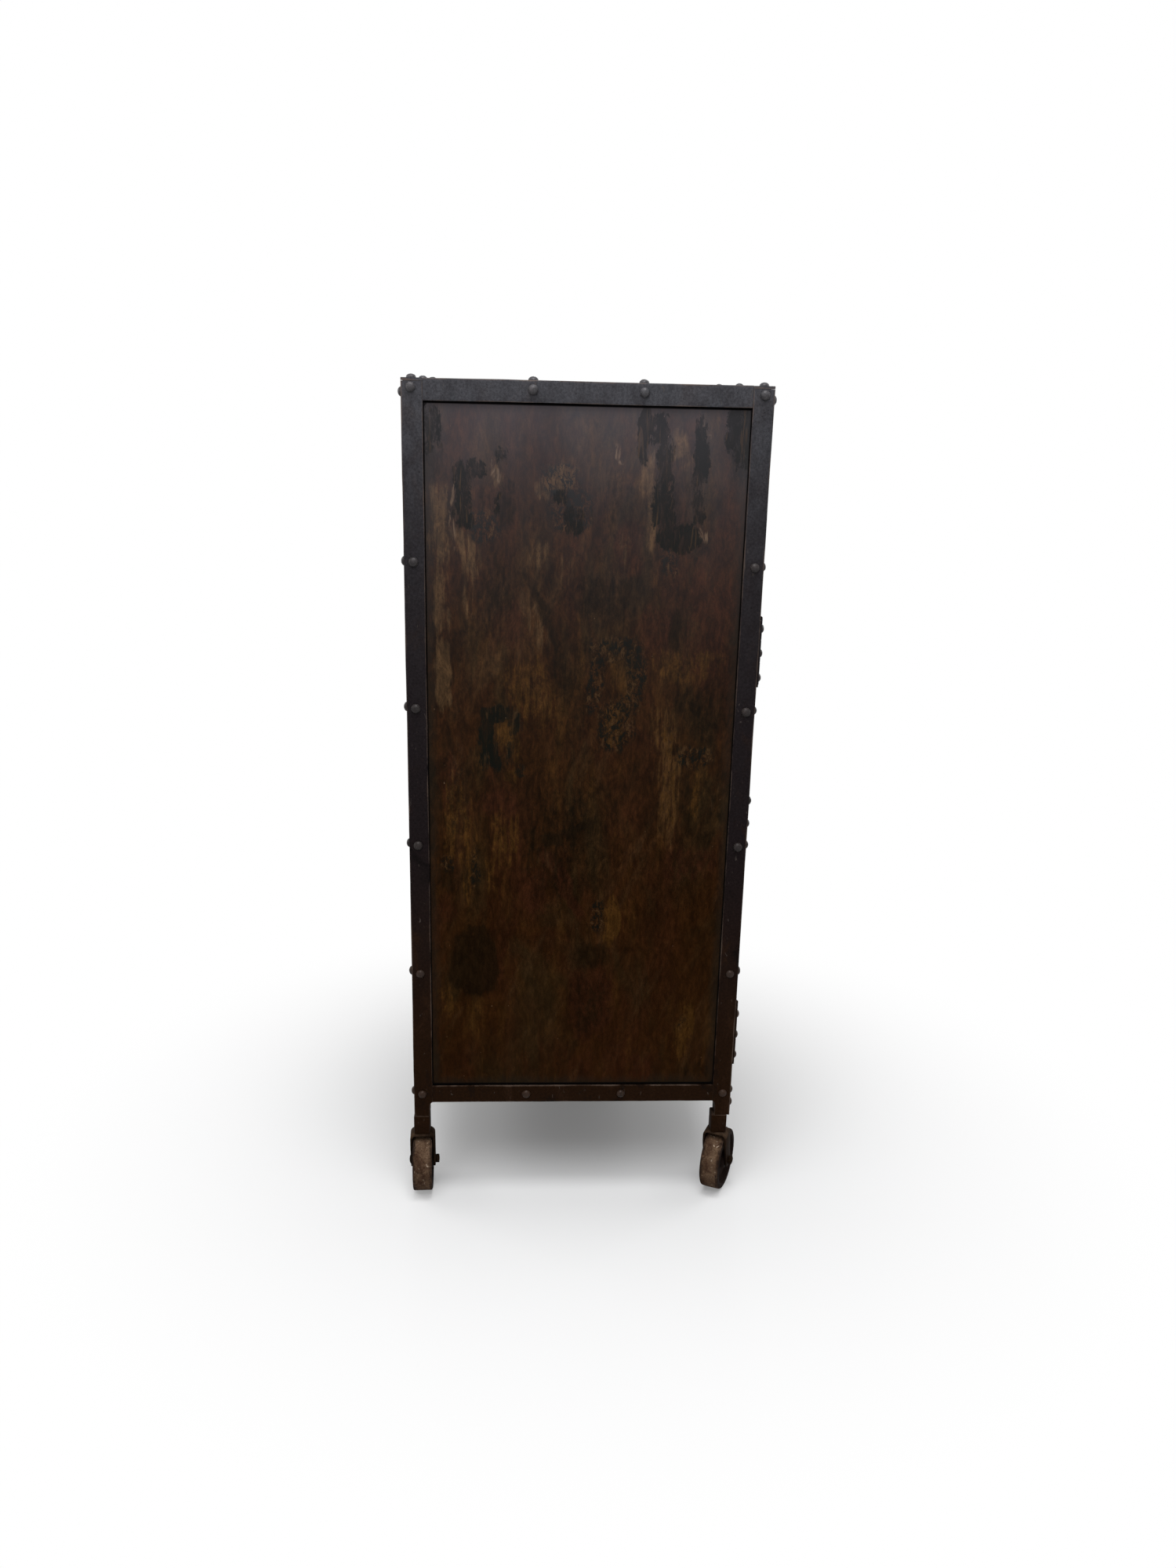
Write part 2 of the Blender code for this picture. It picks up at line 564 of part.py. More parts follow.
def border_spots(low_u, high_u, low_v, high_v, inset, across, up):
    """Rivet places round a rectangular border: its corners, and evenly between them."""
    u0, u1, v0, v1 = low_u + inset, high_u - inset, low_v + inset, high_v - inset
    level = [(u0 + (u1 - u0) * i / across, v) for i in range(across + 1) for v in (v0, v1)]
    upright = [(u, v0 + (v1 - v0) * i / up) for i in range(1, up) for u in (u0, u1)]
    return level + upright


def door(side, root):
    """A flat-bar door frame with a panel behind it, hung on two hinges."""
    sx = SIDES[side]
    pivot = axis_empty(f"{side}_door_axis", (sx * HINGE_X, HINGE_Y, 0), root)
    low_x, high_x = sorted((sx * DOOR_INNER, sx * DOOR_OUTER))
    outer = rectangle(low_x, DOOR_BOTTOM, high_x, DOOR_TOP)
    window = rectangle(low_x + STILE, DOOR_BOTTOM + STILE, high_x - STILE, DOOR_TOP - STILE)
    border = plate("Y", FACE_Y, FACE_Y + DOOR_IRON, outer, window)
    places = border_spots(low_x, high_x, DOOR_BOTTOM, DOOR_TOP, STILE / 2, 3, 4)
    heads = rivets([(x, FACE_Y, z) for x, z in places], (0, -1, 0))
    piece(f"door_frame_{side}", border, BLACK_IRON, pivot, add=[heads])
    inset = DOOR_PANEL_INSET
    skin = box((low_x + inset, FACE_Y + DOOR_IRON + FIT, DOOR_BOTTOM + inset),
               (high_x - inset, FACE_Y + DOOR_IRON + FIT + SHEET, DOOR_TOP - inset))
    piece(f"door_panel_{side}", skin, BROWN_SHEET, pivot)
    grip_x = sx * (DOOR_INNER + STILE / 2)
    feet = [(grip_x, FACE_Y - FIT, HANDLE_HEIGHT + i * HANDLE_LENGTH / 2) for i in (-1, 1)]
    loop_handle(f"door_handle_{side}", feet[0], feet[1], HANDLE_REACH, pivot)
    hinge(side, "upper", UPPER_HINGE, root, pivot)
    hinge(side, "lower", LOWER_HINGE, root, pivot)


def drawer(root):
    """The drawer: a bordered front, two pulls and an open sheet box behind."""
    slide = axis_empty("drawer_slide", (0, FACE_Y, DECK_TOP), root)
    outer = rectangle(-FRONT_X, FRONT_BOTTOM, FRONT_X, FRONT_TOP)
    window = rectangle(STILE - FRONT_X, FRONT_BOTTOM + STILE, FRONT_X - STILE, FRONT_TOP - STILE)
    border = plate("Y", FACE_Y, FACE_Y + DOOR_IRON + FRONT_PLATE / 2, outer, window)
    backing = plate("Y", FACE_Y + DOOR_IRON, FACE_Y + DOOR_IRON + FRONT_PLATE, outer)
    places = border_spots(-FRONT_X, FRONT_X, FRONT_BOTTOM, FRONT_TOP, STILE / 2, 6, 2)
    heads = rivets([(x, FACE_Y, z) for x, z in places], (0, -1, 0))
    piece("drawer_front", backing, BLACK_IRON, slide, add=[border, heads])
    bm = bmesh.new()
    middle = (0, BOX_FRONT + DRAWER_DEPTH / 2, BOX_BASE + DRAWER_HEIGHT / 2)
    size = (2 * FRONT_X, DRAWER_DEPTH, DRAWER_HEIGHT, 1.0)
    bmesh.ops.create_cube(bm, size=1.0, matrix=Matrix.Translation(middle) @ Matrix.Diagonal(size))
    bmesh.ops.recalc_face_normals(bm, faces=bm.faces)
    lid = max(bm.faces, key=lambda face: face.calc_center_median().z)
    bmesh.ops.delete(bm, geom=[lid], context="FACES_ONLY")
    tray = from_bmesh(bm)
    wall = tray.modifiers.new("wall", "SOLIDIFY")
    wall.thickness = SHEET
    wall.offset = -1.0
    wall.use_even_offset = True
    piece("drawer_box", tray, DARK_SHEET, slide)
    height = (FRONT_BOTTOM + FRONT_TOP) / 2
    for side, sx in SIDES.items():
        feet = [(sx * PULL_SPREAD + i * PULL_LENGTH / 2, PULL_Y, height) for i in (-1, 1)]
        loop_handle(f"drawer_pull_{side}", feet[0], feet[1], PULL_REACH, slide)


def fork(name, parent):
    """A swivel fork: a stem on a bent strap with round shoulders, bored for the axle."""
    back, low = TRAIL + ARM_BOSS, WHEEL_RADIUS - ARM_BOSS
    turn_y, turn_z = ARM_OUTER - SHOULDER, CROWN_TOP - SHOULDER
    shoulders = arc((-turn_y, turn_z), SHOULDER, 180, 90) + arc((turn_y, turn_z), SHOULDER, 90, 0)
    bend_y, bend_z = ARM_INNER - CROWN_BEND, CROWN_BOTTOM - CROWN_BEND
    inside = arc((bend_y, bend_z), CROWN_BEND, 0, 90) + arc((-bend_y, bend_z), CROWN_BEND, 90, 180)
    front = [(-ARM_OUTER, low), *shoulders, (ARM_OUTER, low), (ARM_INNER, low), *inside, (-ARM_INNER, low)]
    strap = plate("X", -CROWN_REACH, back, front)
    knee = CROWN_BOTTOM - SHOULDER
    side = [(-CROWN_REACH - ARM, knee), (-CROWN_REACH - ARM, CROWN_TOP + ARM), (CROWN_REACH, CROWN_TOP + ARM),
            (CROWN_REACH, knee), *arc((TRAIL, WHEEL_RADIUS), ARM_BOSS, 0, -180, 2 * ARC_STEPS)]
    taper = plate("Y", -ARM_OUTER - ARM, ARM_OUTER + ARM, side)
    stem = rod((0, 0, CROWN_TOP - CROWN / 2), (0, 0, CROWN_TOP + STEM_LENGTH), STEM_RADIUS, STEM_SIDES)
    hole = rod((TRAIL, -ARM_OUTER - ARM, WHEEL_RADIUS), (TRAIL, ARM_OUTER + ARM, WHEEL_RADIUS),
               (AXLE_RADIUS + FIT) / math.cos(math.pi / BORE_SIDES), BORE_SIDES)
    body = piece(name, strap, FORGED, parent, within=[taper], add=[stem], cut=[hole])
    body.location = (0, 0, 0)


def wheel(name, parent):
    """A cast wheel with a recessed web, standing on one of its flats."""
    edge = WHEEL_RADIUS / math.cos(math.pi / WHEEL_SIDES)
    bore = (AXLE_RADIUS + FIT) / math.cos(math.pi / WHEEL_SIDES)
    half, web = WHEEL_WIDTH / 2, WEB_WIDTH / 2
    rim = edge - RIM_WALL
    upper = [(bore, half), (HUB_RADIUS, half), (HUB_RADIUS, web), (rim, web), (rim, half), (edge, half)]
    profile = upper + [(r, -h) for r, h in reversed(upper)] + upper[:1]
    half_step = Matrix.Rotation(math.pi / WHEEL_SIDES, 4, "Y")
    body = piece(name, turned(profile, WHEEL_SIDES, half_step @ Matrix.Rotation(math.pi / 2, 4, "X")),
                 CAST_IRON, parent)
    body.location = (0, 0, 0)


def axle(name, front, parent):
    """The wheel's bolt: a nut on its side to the front (-1 or 1 on Y), a low round head on the other."""
    end = ARM_OUTER + FIT
    shank = rod((TRAIL, front * (end + NUT_HEIGHT / 2), WHEEL_RADIUS),
                (TRAIL, -front * (end + AXLE_HEAD / 2), WHEEL_RADIUS), AXLE_RADIUS, BORE_SIDES)
    nut = rod((TRAIL, front * end, WHEEL_RADIUS), (TRAIL, front * (end + NUT_HEIGHT), WHEEL_RADIUS),
              NUT_RADIUS, 6)
    profile = [(0, AXLE_HEAD), (DOME_WIDTH * AXLE_HEAD_RADIUS, DOME_HEIGHT * AXLE_HEAD),
               (AXLE_HEAD_RADIUS, 0), (0, 0)]
    turn = Vector((0, 0, 1)).rotation_difference(Vector((0, -front, 0))).to_matrix().to_4x4()
    head = turned(profile, HEAD_SIDES, Matrix.Translation((TRAIL, -front * end, WHEEL_RADIUS)) @ turn)
    body = piece(name, shank, FORGED, parent, add=[head, nut])
    body.location = (0, 0, 0)


def caster(side, end, root):
    """A swivel caster under one post, turned as it came to rest."""
    sx, sy = SIDES[side], ENDS[end]
    turn = BACK_CASTER_TURN if end == "back" else FRONT_CASTER_TURN
    if side == "right":
        turn = math.pi - turn
    at = (sx * (HALF_WIDTH - KINGPIN_INSET), sy * KINGPIN_Y[end], 0)
    swivel = axis_empty(f"caster_{end}_{side}_axis", at, root, turn)
    spin = axis_empty(f"wheel_{end}_{side}_axis", (TRAIL, 0, WHEEL_RADIUS), swivel)
    fork(f"caster_fork_{end}_{side}", swivel)
    axle(f"caster_axle_{end}_{side}", sx, swivel)
    wheel(f"caster_wheel_{end}_{side}", spin)


frame_root = axis_empty("bar_cabinet_frame", (0, CENTRE_SHIFT, 0), None)
for end_name in ENDS:
    end_rails(end_name, frame_root)
    for side_name in SIDES:
        post(side_name, end_name, frame_root)
        caster(side_name, end_name, frame_root)
for side_name in SIDES:
    side_rails(side_name, frame_root)
    door(side_name, frame_root)
mid_rails(frame_root)
panels(frame_root)
shelf(frame_root)
drawer_guides(frame_root)
drawer(frame_root)
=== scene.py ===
"""Looks of a riveted iron bar cabinet on casters, built round its CAD frame."""

import json
import logging
import math
from collections.abc import Iterable, Sequence
from dataclasses import dataclass
from enum import Enum

import bmesh
import bpy
from mathutils import Matrix, Vector, noise


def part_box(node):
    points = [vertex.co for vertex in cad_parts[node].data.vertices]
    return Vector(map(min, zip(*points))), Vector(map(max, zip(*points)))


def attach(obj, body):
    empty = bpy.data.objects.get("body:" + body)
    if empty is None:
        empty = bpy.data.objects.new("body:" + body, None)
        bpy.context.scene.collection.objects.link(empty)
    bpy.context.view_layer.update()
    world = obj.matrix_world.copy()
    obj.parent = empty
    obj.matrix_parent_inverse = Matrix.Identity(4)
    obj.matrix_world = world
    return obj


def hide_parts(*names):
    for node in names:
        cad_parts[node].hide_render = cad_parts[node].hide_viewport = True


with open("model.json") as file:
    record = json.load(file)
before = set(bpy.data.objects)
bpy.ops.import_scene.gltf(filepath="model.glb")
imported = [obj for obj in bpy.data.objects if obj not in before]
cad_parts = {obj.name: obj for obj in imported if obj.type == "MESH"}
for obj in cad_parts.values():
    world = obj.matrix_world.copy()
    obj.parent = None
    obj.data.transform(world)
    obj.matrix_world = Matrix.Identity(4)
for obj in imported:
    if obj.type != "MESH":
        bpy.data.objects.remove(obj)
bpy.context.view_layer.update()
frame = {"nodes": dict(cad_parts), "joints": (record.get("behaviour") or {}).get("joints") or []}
LOG = logging.getLogger("bar_cabinet")

Colour = tuple[float, float, float]
Socket = bpy.types.NodeSocket
Value = Socket | float | tuple
Material = bpy.types.Material
BMesh = bmesh.types.BMesh
Outline = list[tuple[float, float, float]]

RIGHT_WAY = Vector((1, 0, 0))
LEFT_WAY = Vector((-1, 0, 0))
BACK_WAY = Vector((0, 1, 0))
FRONT_WAY = Vector((0, -1, 0))
UP = Vector((0, 0, 1))
DOWN = Vector((0, 0, -1))

WHITE = (1.0, 1.0, 1.0)
LEVELS = ("upper", "lower")
NOISE_SEED = 1


def tone(red: float, green: float, blue: float) -> Colour:
    """Give a display colour, 0 to 255, as linear light."""
    parts = [part / 255 for part in (red, green, blue)]
    return tuple(c / 12.92 if c <= 0.04045 else ((c + 0.055) / 1.055) ** 2.4 for c in parts)


def fade(value: float, start: float, end: float) -> float:
    """Rise smoothly from 0 at start to 1 at end."""
    part = min(max((value - start) / (end - start), 0.0), 1.0)
    return part * part * (3 - 2 * part)


class Slot(Enum):
    """Material slots of the record."""

    FRAME = "black_iron"
    SHEET = "brown_patina"
    INSIDE = "dark_sheet"
    WHEEL = "worn_cast_iron"
    FORGED = "forged_iron"


class Direction(Enum):
    """Two opposite directions, each with its sign."""

    @property
    def word(self) -> str:
        """The direction's name in the CAD."""
        return self.name.lower()


class Side(Direction):
    """Left and right as seen from the front, with the sign of X."""

    LEFT = -1
    RIGHT = 1


class End(Direction):
    """Front and back, with the sign of Y."""

    FRONT = -1
    BACK = 1


class Mark(Enum):
    """Kinds of stain in the sheets' patina, each a vertex attribute."""

    SOOT = "soot"
    CRACKLE = "crackle"
    CREAM = "cream"
    OCHRE = "ochre"
    TAN = "tan"
    RUST = "rust"
    SHADE = "shade"


@dataclass(frozen=True)
class CabinetSizes:
    """Planes of the cabinet that its sub-assemblies share, in metres."""

    half_width: float
    front: float
    back: float
    top: float
    bottom: float
    mid_top: float
    neck_bottom: float
    angle: float = 0.030
    iron: float = 0.004
    fit: float = 0.0003
    rivet_rise: float = 0.005

    @classmethod
    def read(cls) -> "CabinetSizes":
        """Work the planes out from CAD sheets, which carry no rivet heads.

        Returns:
            The sizes.
        """
        skin = cls.iron + cls.fit
        side_low, side_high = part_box("side_panel_left")
        return cls(
            half_width=-side_low.x + skin,
            front=side_low.y - skin,
            back=side_high.y + skin,
            top=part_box("top_panel")[1].z + skin,
            bottom=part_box("bottom_panel")[0].z - skin,
            mid_top=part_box("drawer_deck")[0].z - cls.fit,
            neck_bottom=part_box("post_front_left")[0].z,
        )

    def end_plane(self, end: End) -> float:
        """The outer plane of the front or the back."""
        return self.front if end is End.FRONT else self.back


class Nodes:
    """A node tree, emptied, and short ways to add to it."""

    def __init__(self, tree: bpy.types.NodeTree) -> None:
        """Take a tree and empty it."""
        self.tree = tree
        self.tree.nodes.clear()

    def add(self, kind: str, inputs: dict[str | int, Value] | None = None,
            **settings: object) -> bpy.types.Node:
        """Add a node.

        Args:
            kind: the node's type.
            inputs: a socket to link or a plain value for each input, by its name or number.
            settings: properties to set on it.

        Returns:
            The node.
        """
        node = self.tree.nodes.new(kind)
        for name, value in settings.items():
            setattr(node, name, value)
        for key, value in (inputs or {}).items():
            socket = node.inputs[key]
            if isinstance(value, Socket):
                self.tree.links.new(value, socket)
            elif socket.type == "RGBA":
                socket.default_value = (*value, 1.0)
            else:
                socket.default_value = value
        return node

    def calc(self, operation: str, first: Value, second: Value) -> Socket:
        """Work out a math node's operation on two values."""
        return self.add("ShaderNodeMath", {0: first, 1: second}, operation=operation).outputs[0]

    def seen(self) -> Socket:
        """Tell what is seen, straight, mirrored or through glass, from what only lights.

        Returns:
            1 where it is seen, 0 elsewhere.
        """
        path = self.add("ShaderNodeLightPath").outputs
        straight = self.calc("MAXIMUM", path["Is Camera Ray"], path["Is Glossy Ray"])
        return self.calc("MAXIMUM", straight, path["Is Transmission Ray"])


class NodeSheet(Nodes):
    """A new material, and the textures, sums and mixes that finishes are made of."""

    def __init__(self, name: str) -> None:
        """Start the material with Object coordinates.

        Args:
            name: the material's name.
        """
        self.material = bpy.data.materials.new(name)
        self.material.use_nodes = True
        super().__init__(self.material.node_tree)
        self.place = self.add("ShaderNodeTexCoord").outputs["Object"]
        self.height = self.add("ShaderNodeSeparateXYZ", {0: self.place}).outputs["Z"]

    def noise(self, scale: float, detail: float, rough: float, bend: float, upright: float, shift: float,
              lean: float = 0.0) -> Socket:
        """Add a noise texture.

        Args:
            scale: waves in a metre.
            detail: octaves.
            rough: weight of the finer octaves.
            bend: distortion.
            upright: scale of the height, below 1 for upright streaks.
            shift: offset that tells one pattern from another.
            lean: turn about the X axis, in degrees.

        Returns:
            The noise, about 0.5.
        """
        turn = (math.radians(lean), 0.0, 0.0)
        turned = self.add("ShaderNodeMapping", {"Vector": self.place, "Rotation": turn})
        mapped = self.add("ShaderNodeMapping", {"Vector": turned.outputs[0], "Scale": (1.0, 1.0, upright),
                                                "Location": (shift, shift * 0.7, shift * 1.3)})
        node = self.add("ShaderNodeTexNoise", {"Vector": mapped.outputs[0], "Scale": scale, "Detail": detail,
                                               "Roughness": rough, "Distortion": bend})
        return node.outputs["Fac"]

    def rise(self, start: float, end: float) -> Socket:
        """The height as 0 at start and 1 at end."""
        level = self.add("ShaderNodeMapRange", {"Value": self.height, "From Min": start, "From Max": end})
        return level.outputs["Result"]

    def step(self, value: Value, start: float, end: float, low: float = 0.0, high: float = 1.0) -> Socket:
        """Rise smoothly from low to high while the value goes from start to end.

        Args:
            value: the value.
            start: where the rise starts.
            end: where it ends.
            low: result before the rise.
            high: result after it.

        Returns:
            The result.
        """
        parts = {"Value": value, "From Min": start, "From Max": end, "To Min": low, "To Max": high}
        return self.add("ShaderNodeMapRange", parts, interpolation_type="SMOOTHSTEP").outputs["Result"]

    def plus(self, first: Value, second: Value) -> Socket:
        """Add two values."""
        return self.calc("ADD", first, second)

    def times(self, first: Value, *others: Value) -> Socket:
        """Multiply values.

        Args:
            first: first value.
            others: the values to multiply it by.

        Returns:
            The product.
        """
        for other in others:
            first = self.calc("MULTIPLY", first, other)
        return first

    def about(self, field: Value, gain: float) -> Socket:
        """Move a noise from about 0.5 to about 0, and strengthen it."""
        return self.times(self.calc("SUBTRACT", field, 0.5), gain)

    def blend(self, part: Value, first: Value, second: Value, kind: str = "MIX") -> Socket:
        """Mix two colours.

        Args:
            part: share of the second.
            first: first colour.
            second: second colour.
            kind: blend type.

        Returns:
            The colour.
        """
        factor, colour_a, colour_b, result = 0, 6, 7, 2
        parts = {factor: part, colour_a: first, colour_b: second}
        return self.add("ShaderNodeMix", parts, data_type="RGBA", blend_type=kind).outputs[result]

    def ramp(self, value: Value, stops: Sequence[tuple[float, Colour]]) -> Socket:
        """Add a colour ramp.

        Args:
            value: place on the ramp.
            stops: place and colour of its two stops.

        Returns:
            The colour.
        """
        node = self.add("ShaderNodeValToRGB", {0: value})
        node.color_ramp.interpolation = "EASE"
        for stop, (place, colour) in zip(node.color_ramp.elements, stops):
            stop.position = place
            stop.color = (*colour, 1.0)
        return node.outputs[0]

    def attribute(self, name: str) -> Socket:
        """Read a vertex attribute, 0 where a mesh has none."""
        return self.add("ShaderNodeAttribute", attribute_name=name).outputs["Fac"]

    def bump(self, height: Value, distance: float, strength: float, under: Socket | None = None) -> Socket:
        """Add a bump.

        Args:
            height: the height, 0 to 1.
            distance: metres for a height of 1.
            strength: share of the bump.
            under: a bump to lay it over.

        Returns:
            The normal.
        """
        parts = {"Height": height, "Distance": distance, "Strength": strength}
        if under is not None:
            parts["Normal"] = under
        return self.add("ShaderNodeBump", parts).outputs[0]

    def close(self, surface: Socket) -> Material:
        """End the material in a surface."""
        self.add("ShaderNodeOutputMaterial", {"Surface": surface})
        return self.material

    def finish(self, colour: Value, roughness: Value, metallic: float, specular: float,
               normal: Socket) -> Material:
        """Close the material with a surface of these values.

        Args:
            colour: base colour.
            roughness: roughness.
            metallic: metallic share.
            specular: specular level.
            normal: normal from bumps.

        Returns:
            The material.
        """
        parts = {"Base Color": colour, "Roughness": roughness, "Metallic": metallic,
                 "Specular IOR Level": specular, "Normal": normal}
        return self.close(self.add("ShaderNodeBsdfPrincipled", parts).outputs[0])


@dataclass(frozen=True)
class BrownPatina:
    """Sheet iron with a brushed brown patina: streaks, peeled soot and ochre stains, and a painted grey sheen
    higher up that stands in for light from above.
    """

    umber: Colour = tone(38, 20, 6)
    ochre: Colour = tone(57, 36, 13)
    rust: Colour = tone(43, 21, 10)
    olive: Colour = tone(36, 27, 13)
    tan: Colour = tone(68, 49, 30)
    dark: Colour = tone(22, 13, 5)
    soot: Colour = tone(16, 15, 11)
    cream: Colour = tone(112, 90, 70)
    seam: Colour = tone(9, 8, 8)
    rim: Colour = tone(28, 26, 21)
    # Painted sheen: a grey glow and a bluer one nearer the top, standing in for light from above.
    bloom: Colour = (0.055, 0.0528, 0.0490)
    bloom_power: float = 5.7
    chill: Colour = (0.0005, 0.0005, 0.0140)
    chill_power: float = 7.0
    haze: Colour = (0.0006, 0.0013, 0.0011)
    start: float = 0.18
    end: float = 1.29

    def material(self) -> Material:
        """Build the material.

        Returns:
            The material.
        """
        sheet = NodeSheet("brown_patina")
        level = sheet.rise(self.start, self.end)
        bristle = sheet.noise(50.0, 6.0, 0.68, 0.6, 0.24, 2.2)
        grit = sheet.noise(150.0, 5.0, 0.68, 0.6, 0.55, 6.6)
        ragged = sheet.about(bristle, 1.6)
        crumbs = sheet.about(grit, 1.4)
        broken = sheet.plus(ragged, crumbs)
        hair = sheet.noise(150.0, 4.0, 0.62, 0.4, 0.09, 13.0)
        fibre = sheet.about(hair, 2.2)
        streaky = sheet.plus(fibre, sheet.times(broken, 0.6))
        colour = self.brushwork(sheet)
        colour = sheet.blend(self.cover(sheet, Mark.RUST, broken, 0.8), colour, self.rust)
        colour = sheet.blend(self.cover(sheet, Mark.TAN, streaky, 0.9), colour, self.tan)
        streaky = sheet.plus(streaky, sheet.times(crumbs, 0.7))
        colour = sheet.blend(self.cover(sheet, Mark.OCHRE, streaky, 1.0), colour, self.ochre)
        shade = self.cover(sheet, Mark.SHADE, sheet.plus(broken, sheet.times(fibre, 0.4)), 0.85)
        colour = sheet.blend(shade, colour, self.dark)
        hairy = sheet.step(level, 0.10, 0.45, 0.6, 1.0)
        colour = sheet.blend(hairy, colour, self.texture(sheet), "MULTIPLY")
        colour, flake = self.crackle(sheet, colour, broken)
        colour = self.flecks(sheet, colour, ragged)
        colour, soot = self.peel(sheet, colour, broken)
        colour = self.wear(sheet, colour, ragged)
        # Painted sheen: added more strongly up the sheet as if lit from above, weaker on soot and dark
        # stains, patchy by a broad cloud.
        cloud = sheet.noise(9.0, 4.0, 0.6, 0.5, 0.5, 1.7)
        share = sheet.times(sheet.step(soot, 0.0, 1.0, 1.0, 0.60), sheet.step(shade, 0.0, 1.0, 1.0, 0.85),
                            sheet.step(cloud, 0.25, 0.75, 0.85, 1.15))
        for power, bloom in ((self.bloom_power, self.bloom), (self.chill_power, self.chill)):
            painted_sheen_share = sheet.times(sheet.calc("POWER", level, power), share)
            colour = sheet.blend(painted_sheen_share, colour, bloom, "ADD")
        colour = sheet.blend(sheet.step(level, 0.26, 0.50), colour, self.haze, "ADD")
        # Painted shadow: a near-black line along the edge where the sheet meets the frame.
        colour = sheet.blend(sheet.step(sheet.attribute("inset"), 0.0026, 0.0006), colour, self.seam)
        fine = sheet.noise(240.0, 4.0, 0.7, 0.0, 0.5, 8.8)
        relief = sheet.bump(fine, 0.0004, 0.25)
        relief = sheet.bump(bristle, 0.0008, 0.20, relief)
        relief = sheet.bump(sheet.calc("MAXIMUM", soot, flake), 0.0003, 0.4, relief)
        return sheet.finish(colour, sheet.step(cloud, 0.3, 0.7, 0.52, 0.68), 0.03, 0.006, relief)

    def brushwork(self, sheet: NodeSheet) -> Socket:
        """Brush the warm colours on in upright and slanting strokes.

        Args:
            sheet: the material's nodes.

        Returns:
            The colour.
        """
        rusty = sheet.noise(8.0, 5.0, 0.62, 0.8, 0.40, 9.4)
        colour = sheet.blend(sheet.step(rusty, 0.44, 0.66, 0.0, 0.6), self.umber, self.rust)
        mossy = sheet.noise(10.0, 5.0, 0.62, 0.8, 0.35, 21.7)
        colour = sheet.blend(sheet.step(mossy, 0.46, 0.66, 0.0, 0.6), colour, self.olive)
        drip = sheet.noise(24.0, 6.0, 0.68, 0.6, 0.20, 5.1)
        colour = sheet.blend(sheet.step(drip, 0.52, 0.72, 0.0, 0.55), colour, self.ochre)
        colour = sheet.blend(sheet.step(drip, 0.47, 0.28, 0.0, 0.55), colour, self.dark)
        slant = sheet.noise(15.0, 6.0, 0.66, 0.5, 0.18, 3.3, -24.0)
        colour = sheet.blend(sheet.step(slant, 0.54, 0.76, 0.0, 0.42), colour, self.tan)
        return sheet.blend(sheet.step(slant, 0.46, 0.28, 0.0, 0.50), colour, self.dark)

    def texture(self, sheet: NodeSheet) -> Socket:
        """Make the fine upright hairs and mottling of the brush as a grey to multiply by.

        Args:
            sheet: the material's nodes.

        Returns:
            The grey.
        """
        fine = sheet.noise(170.0, 6.0, 0.74, 0.5, 0.34, 13.0)
        mottle = sheet.noise(48.0, 6.0, 0.76, 0.7, 0.50, 17.5)
        light = sheet.times(sheet.step(fine, 0.32, 0.68, 0.64, 1.42),
                            sheet.step(mottle, 0.32, 0.68, 0.60, 1.44))
        return sheet.add("ShaderNodeCombineColor", {0: light, 1: light, 2: light}).outputs[0]

    def cover(self, sheet: NodeSheet, mark: Mark, strokes: Value, part: float) -> Socket:
        """How far one kind of brushed stain covers, streaky and soft at its rim.

        Args:
            sheet: the material's nodes.
            mark: the kind.
            strokes: upright brush streaks about 0.
            part: its share at most.

        Returns:
            The share.
        """
        amount = sheet.attribute(mark.value)
        mask = sheet.step(sheet.plus(amount, strokes), 0.18, 0.90)
        return sheet.times(mask, sheet.step(amount, 0.02, 0.40), part)

    def crackle(self, sheet: NodeSheet, colour: Value, broken: Value) -> tuple[Socket, Socket]:
        """Lay crazed paint: tan crumbs among dark cracks.

        Args:
            sheet: the material's nodes.
            colour: colour below.
            broken: crumbling noise about 0.

        Returns:
            The colour, and where the cracks are.
        """
        amount = sheet.attribute(Mark.CRACKLE.value)
        spread = sheet.step(sheet.plus(amount, sheet.times(broken, 0.7)), 0.25, 0.85)
        spread = sheet.times(spread, sheet.step(amount, 0.02, 0.25))
        craze = sheet.noise(120.0, 6.0, 0.80, 0.4, 0.62, 31.4)
        crumb = sheet.times(sheet.step(craze, 0.47, 0.36), spread)
        colour = sheet.blend(sheet.times(crumb, 0.85), colour, self.tan)
        flake = sheet.times(sheet.step(craze, 0.48, 0.55), spread)
        return sheet.blend(sheet.times(flake, 0.95), colour, self.soot), flake

    def flecks(self, sheet: NodeSheet, colour: Value, ragged: Value) -> Socket:
        """Strew flakes of old cream paint where its attribute is high.

        Args:
            sheet: the material's nodes.
            colour: colour below.
            ragged: upright streaks about 0.

        Returns:
            The colour.
        """
        flaky = sheet.noise(80.0, 4.0, 0.62, 0.8, 0.30, 27.1)
        amount = sheet.plus(sheet.attribute(Mark.CREAM.value), sheet.times(ragged, 0.5))
        fleck = sheet.times(sheet.step(flaky, 0.50, 0.62), sheet.step(amount, 0.35, 0.80))
        return sheet.blend(sheet.times(fleck, 0.6), colour, self.cream)

